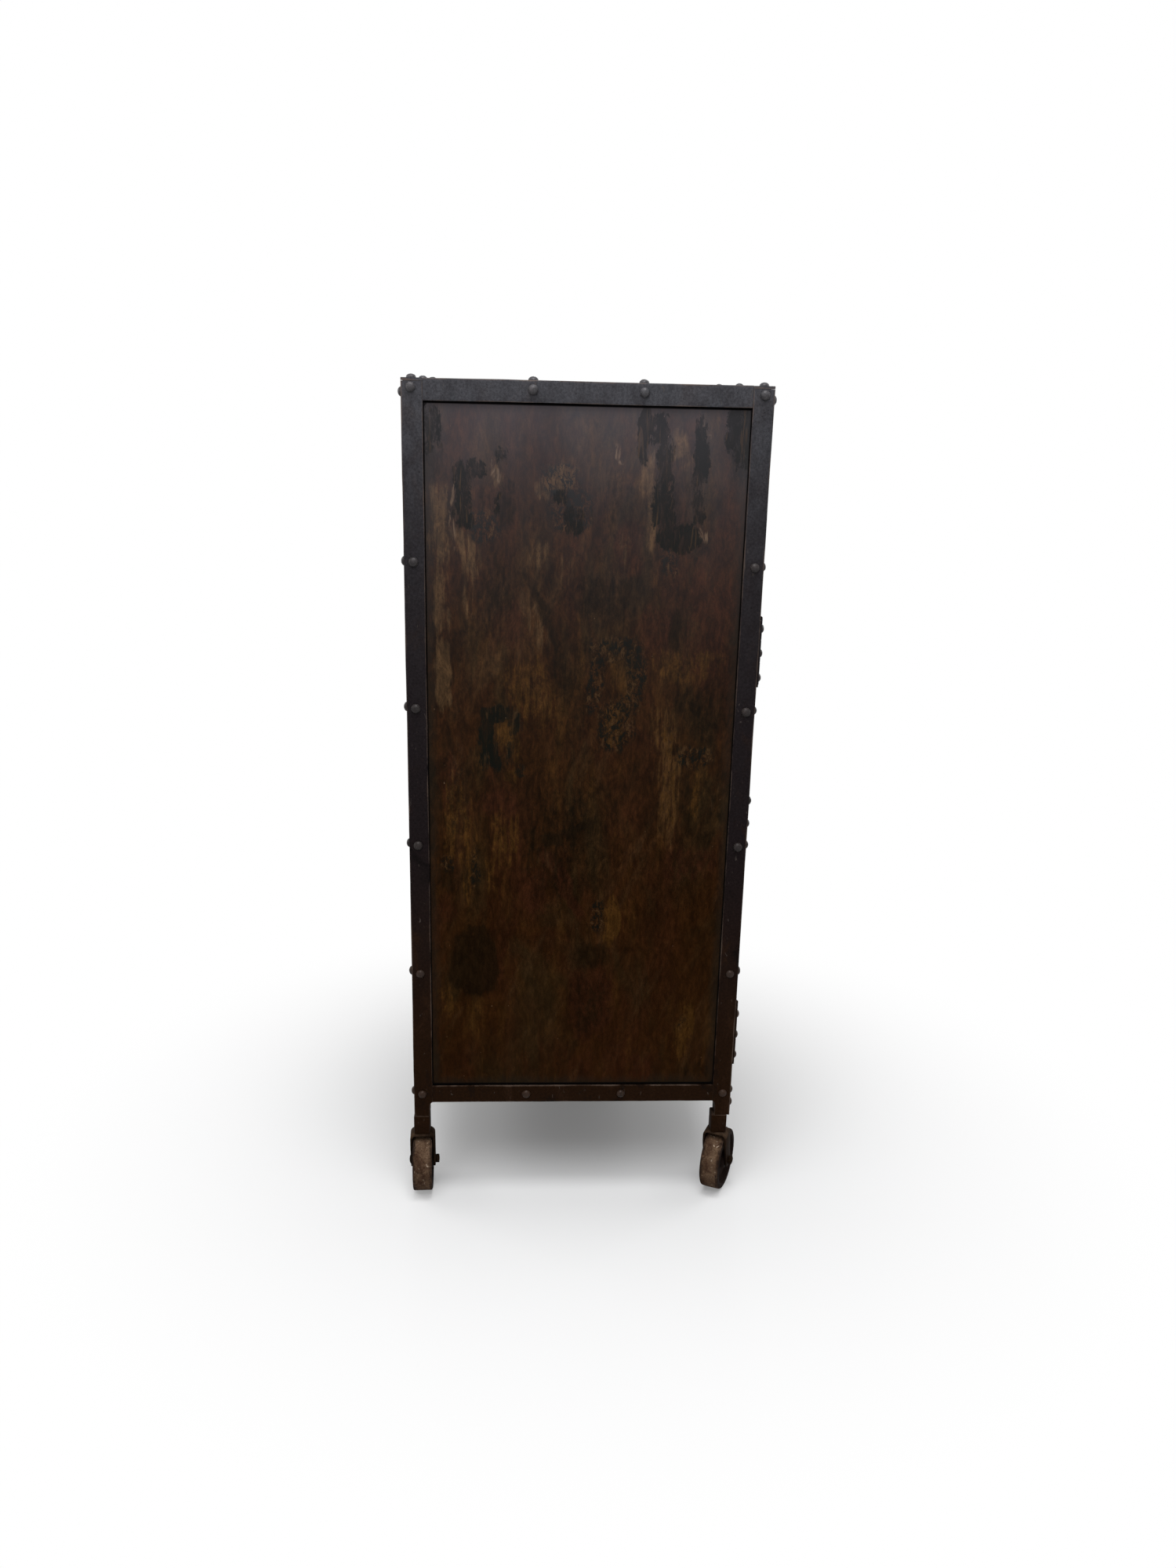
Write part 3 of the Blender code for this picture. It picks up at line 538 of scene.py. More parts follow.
    def peel(self, sheet: NodeSheet, colour: Value, broken: Value) -> tuple[Socket, Socket]:
        """Lay thin soot with a ragged, peeled rim.

        Args:
            sheet: the material's nodes.
            colour: colour below.
            broken: crumbling noise about 0.

        Returns:
            The colour, and where the soot is.
        """
        amount = sheet.attribute(Mark.SOOT.value)
        field = sheet.plus(amount, sheet.times(broken, 1.45))
        thin = sheet.noise(110.0, 6.0, 0.74, 0.6, 0.28, 15.2)
        patchy = sheet.noise(32.0, 4.0, 0.62, 0.6, 0.55, 52.0)
        soot = sheet.times(sheet.step(field, 0.30, 0.70), sheet.step(amount, 0.04, 0.34),
                           sheet.step(thin, 0.36, 0.52, 0.48, 1.0), sheet.step(patchy, 0.36, 0.58, 0.80, 1.0))
        scrape = sheet.noise(130.0, 3.0, 0.6, 0.9, 0.12, 41.0)
        colour = sheet.blend(soot, colour, self.soot)
        scrape = sheet.times(sheet.step(scrape, 0.57, 0.67, 0.0, 0.65), soot)
        return sheet.blend(scrape, colour, self.tan), soot

    def wear(self, sheet: NodeSheet, colour: Value, ragged: Value) -> Socket:
        """Add pits, pale specks and a darker band along the frame.

        Args:
            sheet: the material's nodes.
            colour: colour below.
            ragged: noise about 0 for the rim of that band.

        Returns:
            The colour.
        """
        pit = sheet.step(sheet.noise(280.0, 2.0, 0.5, 0.0, 0.8, 4.7), 0.68, 0.75)
        colour = sheet.blend(sheet.times(pit, 0.5), colour, self.soot)
        speck = sheet.step(sheet.noise(150.0, 2.0, 0.5, 0.0, 0.7, 12.9), 0.765, 0.80)
        colour = sheet.blend(sheet.times(speck, 0.6), colour, self.cream)
        inset = sheet.plus(sheet.attribute("inset"), sheet.times(ragged, 0.02))
        return sheet.blend(sheet.step(inset, 0.020, 0.0, 0.0, 0.5), colour, self.rim)


@dataclass(frozen=True)
class BlackIron:
    """Blackened angle iron, brown below and worn at its edges, with painted light: a cool grey tone and a
    sheen painted higher up where light falls from above.
    """

    name: str = "black_iron"
    warm: Colour = tone(34, 19, 8)
    cool: Colour = tone(29, 23, 24)
    rust: Colour = tone(46, 29, 18)
    worn: Colour = tone(84, 76, 70)
    dark: Colour = tone(13, 10, 9)
    bloom: Colour = (0.053, 0.056, 0.063)
    bloom_power: float = 5.0
    start: float = 0.12
    end: float = 1.30
    metallic: float = 0.10
    specular: float = 0.02
    rough: float = 0.50
    rub: float = 0.65

    def material(self) -> Material:
        """Build the material.

        Returns:
            The material.
        """
        sheet = NodeSheet(self.name)
        level = sheet.rise(self.start, self.end)
        # Painted light: the colour turns cool grey higher up, and a sheen is added near the top, standing in
        # for light from above.
        high = sheet.calc("POWER", level, self.bloom_power)
        colour = sheet.blend(sheet.step(level, 0.08, 0.48), self.warm, self.cool)
        stained = sheet.noise(26.0, 6.0, 0.66, 0.6, 0.5, 7.3)
        rusted = sheet.step(stained, 0.52, 0.70, 0.0, 0.75)
        rusted = sheet.times(rusted, sheet.step(level, 0.10, 0.55, 1.0, 0.35))
        colour = sheet.blend(rusted, colour, self.rust)
        colour = sheet.blend(sheet.step(stained, 0.46, 0.30, 0.0, 0.70), colour, self.dark)
        cloud = sheet.noise(40.0, 5.0, 0.62, 0.4, 0.7, 2.1)
        painted_sheen_share = sheet.times(high, sheet.step(cloud, 0.28, 0.72, 0.72, 1.24))
        colour = sheet.blend(painted_sheen_share, colour, self.bloom, "ADD")
        grain = sheet.noise(260.0, 4.0, 0.7, 0.0, 1.0, 5.9)
        shade = sheet.ramp(grain, ((0.28, tone(150, 150, 150)), (0.72, tone(255, 255, 255))))
        colour = sheet.blend(0.6, colour, shade, "MULTIPLY")
        # Worn edges carry the painted sheen as well; their lightening is wear and also a painted highlight
        # along lit edges.
        painted_sheen_lift = sheet.blend(painted_sheen_share, (0.0, 0.0, 0.0), self.bloom)
        rub = sheet.plus(sheet.attribute("edge"), sheet.about(stained, 2.0))
        worn = sheet.blend(1.0, self.rust, sheet.blend(0.7, painted_sheen_lift, self.worn), "ADD")
        colour = sheet.blend(sheet.step(rub, 0.70, 1.25, 0.0, self.rub), colour, worn)
        scratch = sheet.step(sheet.noise(190.0, 2.0, 0.5, 0.6, 0.35, 11.4), 0.70, 0.76)
        colour = sheet.blend(sheet.times(scratch, 0.45), colour, self.worn)
        pit = sheet.step(sheet.noise(320.0, 2.0, 0.5, 0.0, 1.0, 3.8), 0.66, 0.74)
        colour = sheet.blend(sheet.times(pit, 0.6), colour, self.dark)
        rough = sheet.step(stained, 0.3, 0.7, self.rough - 0.08, self.rough + 0.12)
        relief = sheet.bump(grain, 0.0004, 0.30)
        relief = sheet.bump(stained, 0.0010, 0.30, relief)
        return sheet.finish(colour, rough, self.metallic, self.specular, relief)


@dataclass(frozen=True)
class RivetIron(BlackIron):
    """Rivet heads: the same iron rubbed brighter."""

    name: str = "rivet_iron"
    warm: Colour = tone(54, 39, 30)
    cool: Colour = tone(48, 43, 42)
    rust: Colour = tone(62, 44, 34)
    worn: Colour = tone(110, 104, 98)
    dark: Colour = tone(26, 23, 21)
    bloom: Colour = (0.045, 0.048, 0.054)
    metallic: float = 0.12
    specular: float = 0.10
    rough: float = 0.34


@dataclass(frozen=True)
class ForgedIron(BlackIron):
    """Forks, bolts, pins and handles: brown-black iron, shinier where it is handled."""

    name: str = "forged_iron"
    warm: Colour = tone(34, 24, 17)
    cool: Colour = tone(36, 30, 26)
    rust: Colour = tone(50, 35, 24)
    worn: Colour = tone(80, 66, 53)
    dark: Colour = tone(16, 13, 11)
    bloom: Colour = (0.030, 0.031, 0.034)
    metallic: float = 0.03
    specular: float = 0.008
    rough: float = 0.58
    rub: float = 0.45


@dataclass(frozen=True)
class DarkSheet(BlackIron):
    """Sheet inside the cabinet: the same dark iron, less handled."""

    name: str = "dark_sheet"
    warm: Colour = tone(46, 36, 28)
    cool: Colour = tone(46, 38, 32)
    rust: Colour = tone(66, 48, 32)
    worn: Colour = tone(84, 74, 64)
    dark: Colour = tone(26, 21, 17)
    bloom: Colour = (0.020, 0.018, 0.018)
    metallic: float = 0.20
    specular: float = 0.08
    rough: float = 0.58


@dataclass(frozen=True)
class CastIron:
    """Worn wheels: a pale scuffed tread between dark greasy sides, with chips and pits."""

    pale: Colour = tone(100, 80, 63)
    brown: Colour = tone(62, 44, 33)
    dark: Colour = tone(38, 26, 19)
    chip: Colour = tone(182, 164, 144)
    grease: Colour = tone(30, 22, 19)

    def material(self) -> Material:
        """Build the material.

        Returns:
            The material.
        """
        sheet = NodeSheet("worn_cast_iron")
        scuff = sheet.noise(38.0, 6.0, 0.68, 0.6, 1.0, 1.9)
        colour = sheet.blend(sheet.step(scuff, 0.34, 0.66), self.brown, self.pale)
        blot = sheet.noise(70.0, 5.0, 0.65, 0.8, 1.0, 6.1)
        colour = sheet.blend(sheet.step(blot, 0.55, 0.72, 0.0, 0.6), colour, self.dark)
        chip = sheet.step(sheet.noise(105.0, 4.0, 0.66, 1.0, 1.0, 4.4), 0.62, 0.68)
        colour = sheet.blend(sheet.times(chip, 0.7), colour, self.chip)
        # Painted shade: the wheel is darkened towards the floor, where less light reaches.
        painted_low_shade = sheet.step(sheet.plus(sheet.height, sheet.times(scuff, 0.05)), 0.03, 0.10, 0.55, 0.0)
        colour = sheet.blend(painted_low_shade, colour, self.dark)
        bare = sheet.plus(sheet.attribute("tread"), sheet.calc("SUBTRACT", blot, 0.5))
        colour = sheet.blend(sheet.step(bare, 0.25, 0.75), self.grease, colour)
        grain = sheet.noise(380.0, 4.0, 0.7, 0.0, 1.0, 8.2)
        shade = sheet.ramp(grain, ((0.25, tone(80, 80, 80)), (0.75, tone(240, 240, 240))))
        colour = sheet.blend(0.5, colour, shade, "SOFT_LIGHT")
        rough = sheet.step(scuff, 0.3, 0.7, 0.74, 0.60)
        relief = sheet.bump(grain, 0.0006, 0.4)
        relief = sheet.bump(blot, 0.0012, 0.4, relief)
        return sheet.finish(colour, rough, 0.0, 0.01, relief)


@dataclass(frozen=True)
class Look:
    """A material, its slot in the record and the word before the node in its pieces' names."""

    material: Material
    slot: Slot
    word: str = ""


@dataclass(frozen=True)
class Finishes:
    """The looks of the cabinet's parts, made once."""

    patina: Look
    iron: Look
    rivet: Look
    forged: Look
    inside: Look
    wheel: Look

    @classmethod
    def make(cls) -> "Finishes":
        """Build every material.

        Returns:
            The looks.
        """
        return cls(
            patina=Look(BrownPatina().material(), Slot.SHEET),
            iron=Look(BlackIron().material(), Slot.FRAME, "iron"),
            rivet=Look(RivetIron().material(), Slot.FRAME),
            forged=Look(ForgedIron().material(), Slot.FORGED, "forged"),
            inside=Look(DarkSheet().material(), Slot.INSIDE, "inside"),
            wheel=Look(CastIron().material(), Slot.WHEEL),
        )


def place_piece(name: str, mesh: bpy.types.Mesh, body: str, node: str = "") -> None:
    """Hand a finished mesh to the frame as a piece.

    Args:
        name: the piece's name.
        mesh: its mesh.
        body: the CAD body that it rides on.
        node: the CAD node that it stands for, empty for none.
    """
    piece = bpy.data.objects.new(name, mesh)
    bpy.context.scene.collection.objects.link(piece)
    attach(piece, body)
    if node:
        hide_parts(node)
    LOG.info("%s: %d faces on %s", piece.name, len(mesh.polygons), body)


def publish(bm: BMesh, look: Look, body: str, node: str, name: str = "", smooth: float = 38.0) -> None:
    """Turn a finished bmesh into a piece of the object.

    Args:
        bm: its mesh, freed here.
        look: its look.
        body: the CAD body that it rides on.
        node: the CAD node that it stands for, empty for none.
        name: its name, or else the look's word and the node's name.
        smooth: angle in degrees below which edges are smooth.
    """
    name = name or f"{look.word}_{node}"
    bmesh.ops.recalc_face_normals(bm, faces=bm.faces)
    mesh = bpy.data.meshes.new(name)
    bm.to_mesh(mesh)
    bm.free()
    mesh.materials.append(look.material)
    mesh.shade_smooth()
    mesh.set_sharp_from_angle(angle=math.radians(smooth))
    place_piece(name, mesh, body, node)


def joint_place(name: str) -> Vector:
    """Where a CAD joint is."""
    return Vector(next(joint["pos_m"] for joint in frame["joints"] if joint["name"] == name))


def quarter(steps: int) -> list[float]:
    """Even angles from 0 to a quarter turn."""
    return [math.pi / 2 * k / steps for k in range(steps + 1)]


def dome(radius: float, rise: float) -> list[tuple[float, float]]:
    """Radius and height along a domed head, from its rim to its pole."""
    return [(radius * math.cos(a), rise * math.sin(a)) for a in quarter(5)]


def rounded(corners: Sequence[tuple[float, float, float]], steps: int = 3, rub: float = 0.0025) -> Outline:
    """Round a right-angled outline's corners and mark its edges as worn.

    Args:
        corners: u, v and radius of each corner, in order.
        steps: pieces in each corner.
        rub: how far the wear reaches from a corner.

    Returns:
        u, v and wear of each point.
    """
    outline = []
    for i, (u, v, radius) in enumerate(corners):
        here = Vector((u, v))
        before = Vector(corners[i - 1][:2]) - here
        after = Vector(corners[(i + 1) % len(corners)][:2]) - here
        if before.length > 2.5 * (radius + rub):
            outline.append((*(here + before.normalized() * (radius + rub)), 0.0))
        from_way = before.normalized() * radius
        to_way = after.normalized() * radius
        for a in quarter(steps):
            outline.append((*(here + from_way * (1 - math.sin(a)) + to_way * (1 - math.cos(a))), 1.0))
        if after.length > 2.5 * (radius + rub):
            outline.append((*(here + after.normalized() * (radius + rub)), 0.0))
    return outline


def angle_section(leg: float, iron: float) -> Outline:
    """The section of a rolled angle with its outer corner at 0, 0.

    Args:
        leg: width of both legs.
        iron: thickness.

    Returns:
        The outline.
    """
    heel, edge, toe, root = 0.0011, 0.0007, 0.0017, 0.003
    return rounded(((0, 0, heel), (leg, 0, edge), (leg, iron, toe), (iron, iron, root), (iron, leg, toe),
                    (0, leg, edge)))


def flat_section(width: float, iron: float, soft: float = 0.0008) -> Outline:
    """The section of a flat bar, from its corner at 0, 0."""
    return rounded(((0, 0, soft), (width, 0, soft), (width, iron, soft), (0, iron, soft)))


def stations(start: float, end: float, pitch: float) -> list[float]:
    """Even places from start to end, about a pitch apart."""
    count = max(2, round(abs(end - start) / pitch))
    return [start + (end - start) * i / count for i in range(count + 1)]


def loft(bm: BMesh, rings: Sequence[Sequence[Vector]], wear: Sequence[float],
         closed: bool = False) -> None:
    """Skin rings of points, with a cap at each end unless the rings close on themselves.

    Args:
        bm: the mesh to add to.
        rings: rings with as many points each.
        wear: the edge attribute of each point in a ring.
        closed: join the last ring to the first.
    """
    layer = bm.verts.layers.float.get("edge") or bm.verts.layers.float.new("edge")
    made = []
    for ring in rings:
        made.append([bm.verts.new(point) for point in ring])
        for vert, worn in zip(made[-1], wear):
            vert[layer] = worn
    pairs = list(zip(made, made[1:]))
    if closed:
        pairs.append((made[-1], made[0]))
    for first, second in pairs:
        for i in range(len(first)):
            j = (i + 1) % len(first)
            bm.faces.new((first[i], first[j], second[j], second[i]))
    if not closed:
        bm.faces.new(made[0][::-1])
        bm.faces.new(made[-1])


def bar(bm: BMesh, section: Outline, corner: Vector, u_way: Vector, v_way: Vector,
        along: Vector, places: Sequence[float]) -> None:
    """Sweep one section straight.

    Args:
        bm: the mesh to add to.
        section: the section.
        corner: where its 0, 0 starts.
        u_way: direction of u.
        v_way: direction of v.
        along: direction of the sweep.
        places: distances of the rings.
    """
    rings = [[corner + along * s + u_way * u + v_way * v for u, v, _ in section] for s in places]
    loft(bm, rings, [worn for _, _, worn in section])


def hammer(bm: BMesh, amount: float, seed: float) -> None:
    """Give straight iron the slight unevenness of worked metal.

    Args:
        bm: the mesh.
        amount: metres of the longer waves.
        seed: tells one piece's waves from another's.
    """
    long_wave, short_wave, short_share = 0.11, 0.022, 0.35
    shift = Vector((seed * 1.73, seed * 0.91, seed * 1.37))
    for vert in bm.verts:
        wave = noise.noise_vector(vert.co / long_wave + shift) * amount
        vert.co += wave + noise.noise_vector(vert.co / short_wave + shift) * amount * short_share


def bevel(bm: BMesh, edges: Sequence[bmesh.types.BMEdge], soft: float) -> None:
    """Round edges to a radius."""
    bmesh.ops.bevel(bm, geom=edges, offset=soft, segments=2, profile=0.5, affect="EDGES", clamp_overlap=True)


def block(bm: BMesh, low: Vector, high: Vector, soft: float = 0.0008) -> None:
    """Add a block with rounded edges.

    Args:
        bm: the mesh to add to.
        low: a corner.
        high: the opposite corner.
        soft: radius of the edges.
    """
    size = [abs(b - a) for a, b in zip(low, high)]
    middle = (Vector(low) + Vector(high)) / 2
    place = Matrix.Translation(middle) @ Matrix.Diagonal((*size, 1.0))
    made = bmesh.ops.create_cube(bm, size=1.0, matrix=place)
    bevel(bm, list({edge for vert in made["verts"] for edge in vert.link_edges}), soft)


def lathe(bm: BMesh, profile: Sequence[tuple[float, float]], sides: int, place: Matrix,
          closed: bool = False) -> None:
    """Turn a profile about Z.

    Args:
        bm: the mesh to add to.
        profile: radius and height of each point.
        sides: segments.
        place: where the turned piece goes.
        closed: join the last point to the first.
    """
    pole = 1e-6
    rings = []
    for radius, height in profile:
        count = sides if radius > pole else 1
        spots = [2 * math.pi * i / sides for i in range(count)]
        rings.append([bm.verts.new(place @ Vector((radius * math.cos(a), radius * math.sin(a), height)))
                      for a in spots])
    pairs = list(zip(rings, rings[1:]))
    if closed:
        pairs.append((rings[-1], rings[0]))
    for first, second in pairs:
        for i in range(sides):
            j = (i + 1) % sides
            loop = [first[k % len(first)] for k in (i, j)] + [second[k % len(second)] for k in (j, i)]
            corners = list(dict.fromkeys(loop))
            if len(corners) > 2:
                bm.faces.new(corners)


def softened(node: str, soft: float) -> BMesh:
    """Copy a CAD node's mesh and round its edges.

    Args:
        node: the node.
        soft: radius of the edges.

    Returns:
        The copy.
    """
    bm = bmesh.new()
    bm.from_mesh(frame["nodes"][node].data)
    bmesh.ops.remove_doubles(bm, verts=bm.verts, dist=1e-5)
    bmesh.ops.dissolve_limit(bm, angle_limit=math.radians(1), verts=bm.verts, edges=bm.edges)
    sharp = [edge for edge in bm.edges if edge.is_manifold and edge.calc_face_angle() > math.radians(30)]
    bevel(bm, sharp, soft)
    return bm


class NodeTree(Nodes):
    """A Geometry Nodes tree with named inputs."""

    def __init__(self, name: str, inputs: Sequence[tuple[str, str, object]]) -> None:
        """Start a tree.

        Args:
            name: the tree's name.
            inputs: name, socket type and default of each input after the geometry.
        """
        super().__init__(bpy.data.node_groups.new(name, "GeometryNodeTree"))
        self.tree.is_modifier = True
        face = self.tree.interface
        face.new_socket("Geometry", in_out="INPUT", socket_type="NodeSocketGeometry")
        self.keys = {}
        for label, kind, start in inputs:
            socket = face.new_socket(label, in_out="INPUT", socket_type=kind)
            if start is not None:
                socket.default_value = start
            self.keys[label] = socket.identifier
        face.new_socket("Geometry", in_out="OUTPUT", socket_type="NodeSocketGeometry")
        self.start = self.add("NodeGroupInput")
        self.end = self.add("NodeGroupOutput")

    def close(self, geometry: Socket) -> None:
        """End the tree in Realize Instances and Set Material.

        Args:
            geometry: what the tree has made.
        """
        real = self.add("GeometryNodeRealizeInstances", {"Geometry": geometry})
        dressed = self.add("GeometryNodeSetMaterial", {"Geometry": real.outputs[0],
                                                       "Material": self.start.outputs["Material"]})
        self.tree.links.new(dressed.outputs[0], self.end.inputs[0])

    def run(self, source: bpy.types.Mesh, name: str, values: dict[str, object]) -> bpy.types.Mesh:
        """Run the tree on a mesh.

        Args:
            source: the mesh that goes in.
            name: name of the result.
            values: inputs by name.

        Returns:
            A plain mesh.
        """
        carrier = bpy.data.objects.new(name, source)
        bpy.context.scene.collection.objects.link(carrier)
        modifier = carrier.modifiers.new(name, "NODES")
        modifier.node_group = self.tree
        for label, value in values.items():
            modifier[self.keys[label]] = value
        made = bpy.data.meshes.new_from_object(carrier.evaluated_get(bpy.context.evaluated_depsgraph_get()))
        made.name = name
        carrier.modifiers.remove(modifier)
        bpy.data.objects.remove(carrier)
        return made


class RivetTree(NodeTree):
    """Rivet heads on points: a domed head on each, turned to the point's direction."""

    def __init__(self) -> None:
        """Build the tree."""
        super().__init__("rivet_heads", (
            ("Head Radius", "NodeSocketFloat", 0.007),
            ("Head Rise", "NodeSocketFloat", 0.005),
            ("Wear", "NodeSocketFloat", 0.0006),
            ("Seed", "NodeSocketInt", 11),
            ("Material", "NodeSocketMaterial", None),
        ))
        given = self.start.outputs
        ball = self.add("GeometryNodeMeshUVSphere", {"Segments": 14, "Rings": 8, "Radius": 1.0})
        size = self.add("ShaderNodeCombineXYZ", {0: given["Head Radius"], 1: given["Head Radius"],
                                                 2: given["Head Rise"]})
        dome = self.add("GeometryNodeTransform", {"Geometry": ball.outputs["Mesh"], "Scale": size.outputs[0]})
        spot = self.add("GeometryNodeInputPosition")
        parts = self.add("ShaderNodeSeparateXYZ", {0: spot.outputs[0]})
        foot = -0.0021
        under = self.add("FunctionNodeCompare", {0: parts.outputs["Z"], 1: foot}, operation="LESS_THAN",
                         data_type="FLOAT")
        cut = self.add("GeometryNodeDeleteGeometry", {"Geometry": dome.outputs[0],
                                                      "Selection": under.outputs[0]})
        smooth = self.add("GeometryNodeSetShadeSmooth", {"Geometry": cut.outputs[0]})
        way = self.add("GeometryNodeInputNamedAttribute", {"Name": "direction"}, data_type="FLOAT_VECTOR")
        turn = self.add("FunctionNodeAlignRotationToVector", {"Vector": way.outputs[0]}, axis="Z")
        least, most = 0.94, 1.04
        span = self.add("FunctionNodeRandomValue", {2: least, 3: most, "Seed": given["Seed"]},
                        data_type="FLOAT")
        heads = self.add("GeometryNodeInstanceOnPoints", {
            "Points": given["Geometry"], "Instance": smooth.outputs[0], "Rotation": turn.outputs[0],
            "Scale": span.outputs[1]})
        real = self.add("GeometryNodeRealizeInstances", {"Geometry": heads.outputs[0]})
        dent = self.add("ShaderNodeTexNoise", {"Scale": 120.0, "Detail": 1.0})
        middle = self.add("ShaderNodeVectorMath", {0: dent.outputs["Color"], 1: (0.5, 0.5, 0.5)},
                          operation="SUBTRACT")
        amount = self.add("ShaderNodeVectorMath", {0: middle.outputs[0], "Scale": given["Wear"]},
                          operation="SCALE")
        struck = self.add("GeometryNodeSetPosition", {"Geometry": real.outputs[0],
                                                      "Offset": amount.outputs[0]})
        self.close(struck.outputs[0])


class RodTree(NodeTree):
    """A round rod along a path of edges."""

    def __init__(self) -> None:
        """Build the tree."""
        super().__init__("rod_on_path", (
            ("Rod Radius", "NodeSocketFloat", 0.005),
            ("Sides", "NodeSocketInt", 20),
            ("Material", "NodeSocketMaterial", None),
        ))
        given = self.start.outputs
        path = self.add("GeometryNodeMeshToCurve", {"Mesh": given["Geometry"]})
        ring = self.add("GeometryNodeCurvePrimitiveCircle", {"Resolution": given["Sides"],
                                                             "Radius": given["Rod Radius"]}, mode="RADIUS")
        rod = self.add("GeometryNodeCurveToMesh", {"Curve": path.outputs[0], "Profile Curve": ring.outputs[0],
                                                   "Fill Caps": True})
        self.close(rod.outputs[0])


@dataclass(frozen=True)
class Rivets:
    """Every rivet head, read from where the CAD heads peak."""

    sizes: CabinetSizes
    finishes: Finishes
    tree: RivetTree
    head_radius: float = 0.0072
    head_rise: float = 0.0052
    dent: float = 0.0008
    seed: int = 11
    leaf: float = 0.003
    slack: float = 5e-5

    def peaks(self, node: str, way: Vector, level: float) -> list[Vector]:
        """Find the feet of one node's heads.

        Args:
            node: the CAD node.
            way: the way its heads face.
            level: how far out its face lies.

        Returns:
            The middle of each head's foot.
        """
        found = {}
        for vert in frame["nodes"][node].data.vertices:
            if abs(vert.co.dot(way) - level - self.sizes.rivet_rise) < self.slack:
                foot = vert.co - way * self.sizes.rivet_rise
                found[tuple(round(c, 4) for c in foot)] = foot
        return list(found.values())

    def build(self, name: str, body: str, faces: Iterable[tuple[str, Vector, float]]) -> None:
        """Set the heads of one body.

        Args:
            name: the piece's name.
            body: the body.
            faces: CAD node, facing and level of each riveted face.
        """
        places = []
        ways = []
        for node, way, level in faces:
            feet = self.peaks(node, way, level)
            places += feet
            ways += [way] * len(feet)
        dots = bpy.data.meshes.new(name + "_places")
        dots.from_pydata([tuple(place) for place in places], [], [])
        attribute = dots.attributes.new("direction", "FLOAT_VECTOR", "POINT")
        attribute.data.foreach_set("vector", [c for way in ways for c in way])
        values = {"Head Radius": self.head_radius, "Head Rise": self.head_rise, "Wear": self.dent,
                  "Seed": self.seed, "Material": self.finishes.rivet.material}
        LOG.info("%s: %d rivet heads", name, len(places))
        place_piece(name, self.tree.run(dots, name, values), body)

    def leaf_faces(self, owner: str, side: Side) -> list[tuple[str, Vector, float]]:
        """The riveted faces of a side's hinge leaves on the frame or on the door."""
        level = -self.sizes.front + self.sizes.fit + self.leaf
        return [(f"hinge_{owner}_leaf_{name}_{side.word}", FRONT_WAY, level) for name in LEVELS]

    def all(self) -> None:
        """Set the heads of the frame, the doors and the drawer."""
        s = self.sizes
        outward = [(LEFT_WAY, s.half_width), (RIGHT_WAY, s.half_width), (FRONT_WAY, -s.front),
                   (BACK_WAY, s.back), (UP, s.top)]
        iron = [node for node in frame["nodes"] if node.startswith(("post_", "top_rail_", "bottom_rail_"))]
        faces = [(node, way, level) for node in sorted(iron) for way, level in outward]
        faces.append(("mid_rail_front", FRONT_WAY, -s.front))
        for side in Side:
            faces += self.leaf_faces("frame", side)
        self.build("rivets_frame", "frame", faces)
        for side in Side:
            faces = [(f"door_frame_{side.word}", FRONT_WAY, -s.front), *self.leaf_faces("door", side)]
            self.build(f"rivets_{side.word}_door", f"{side.word}_door", faces)
        self.build("rivets_drawer", "drawer", [("drawer_front", FRONT_WAY, -s.front)])


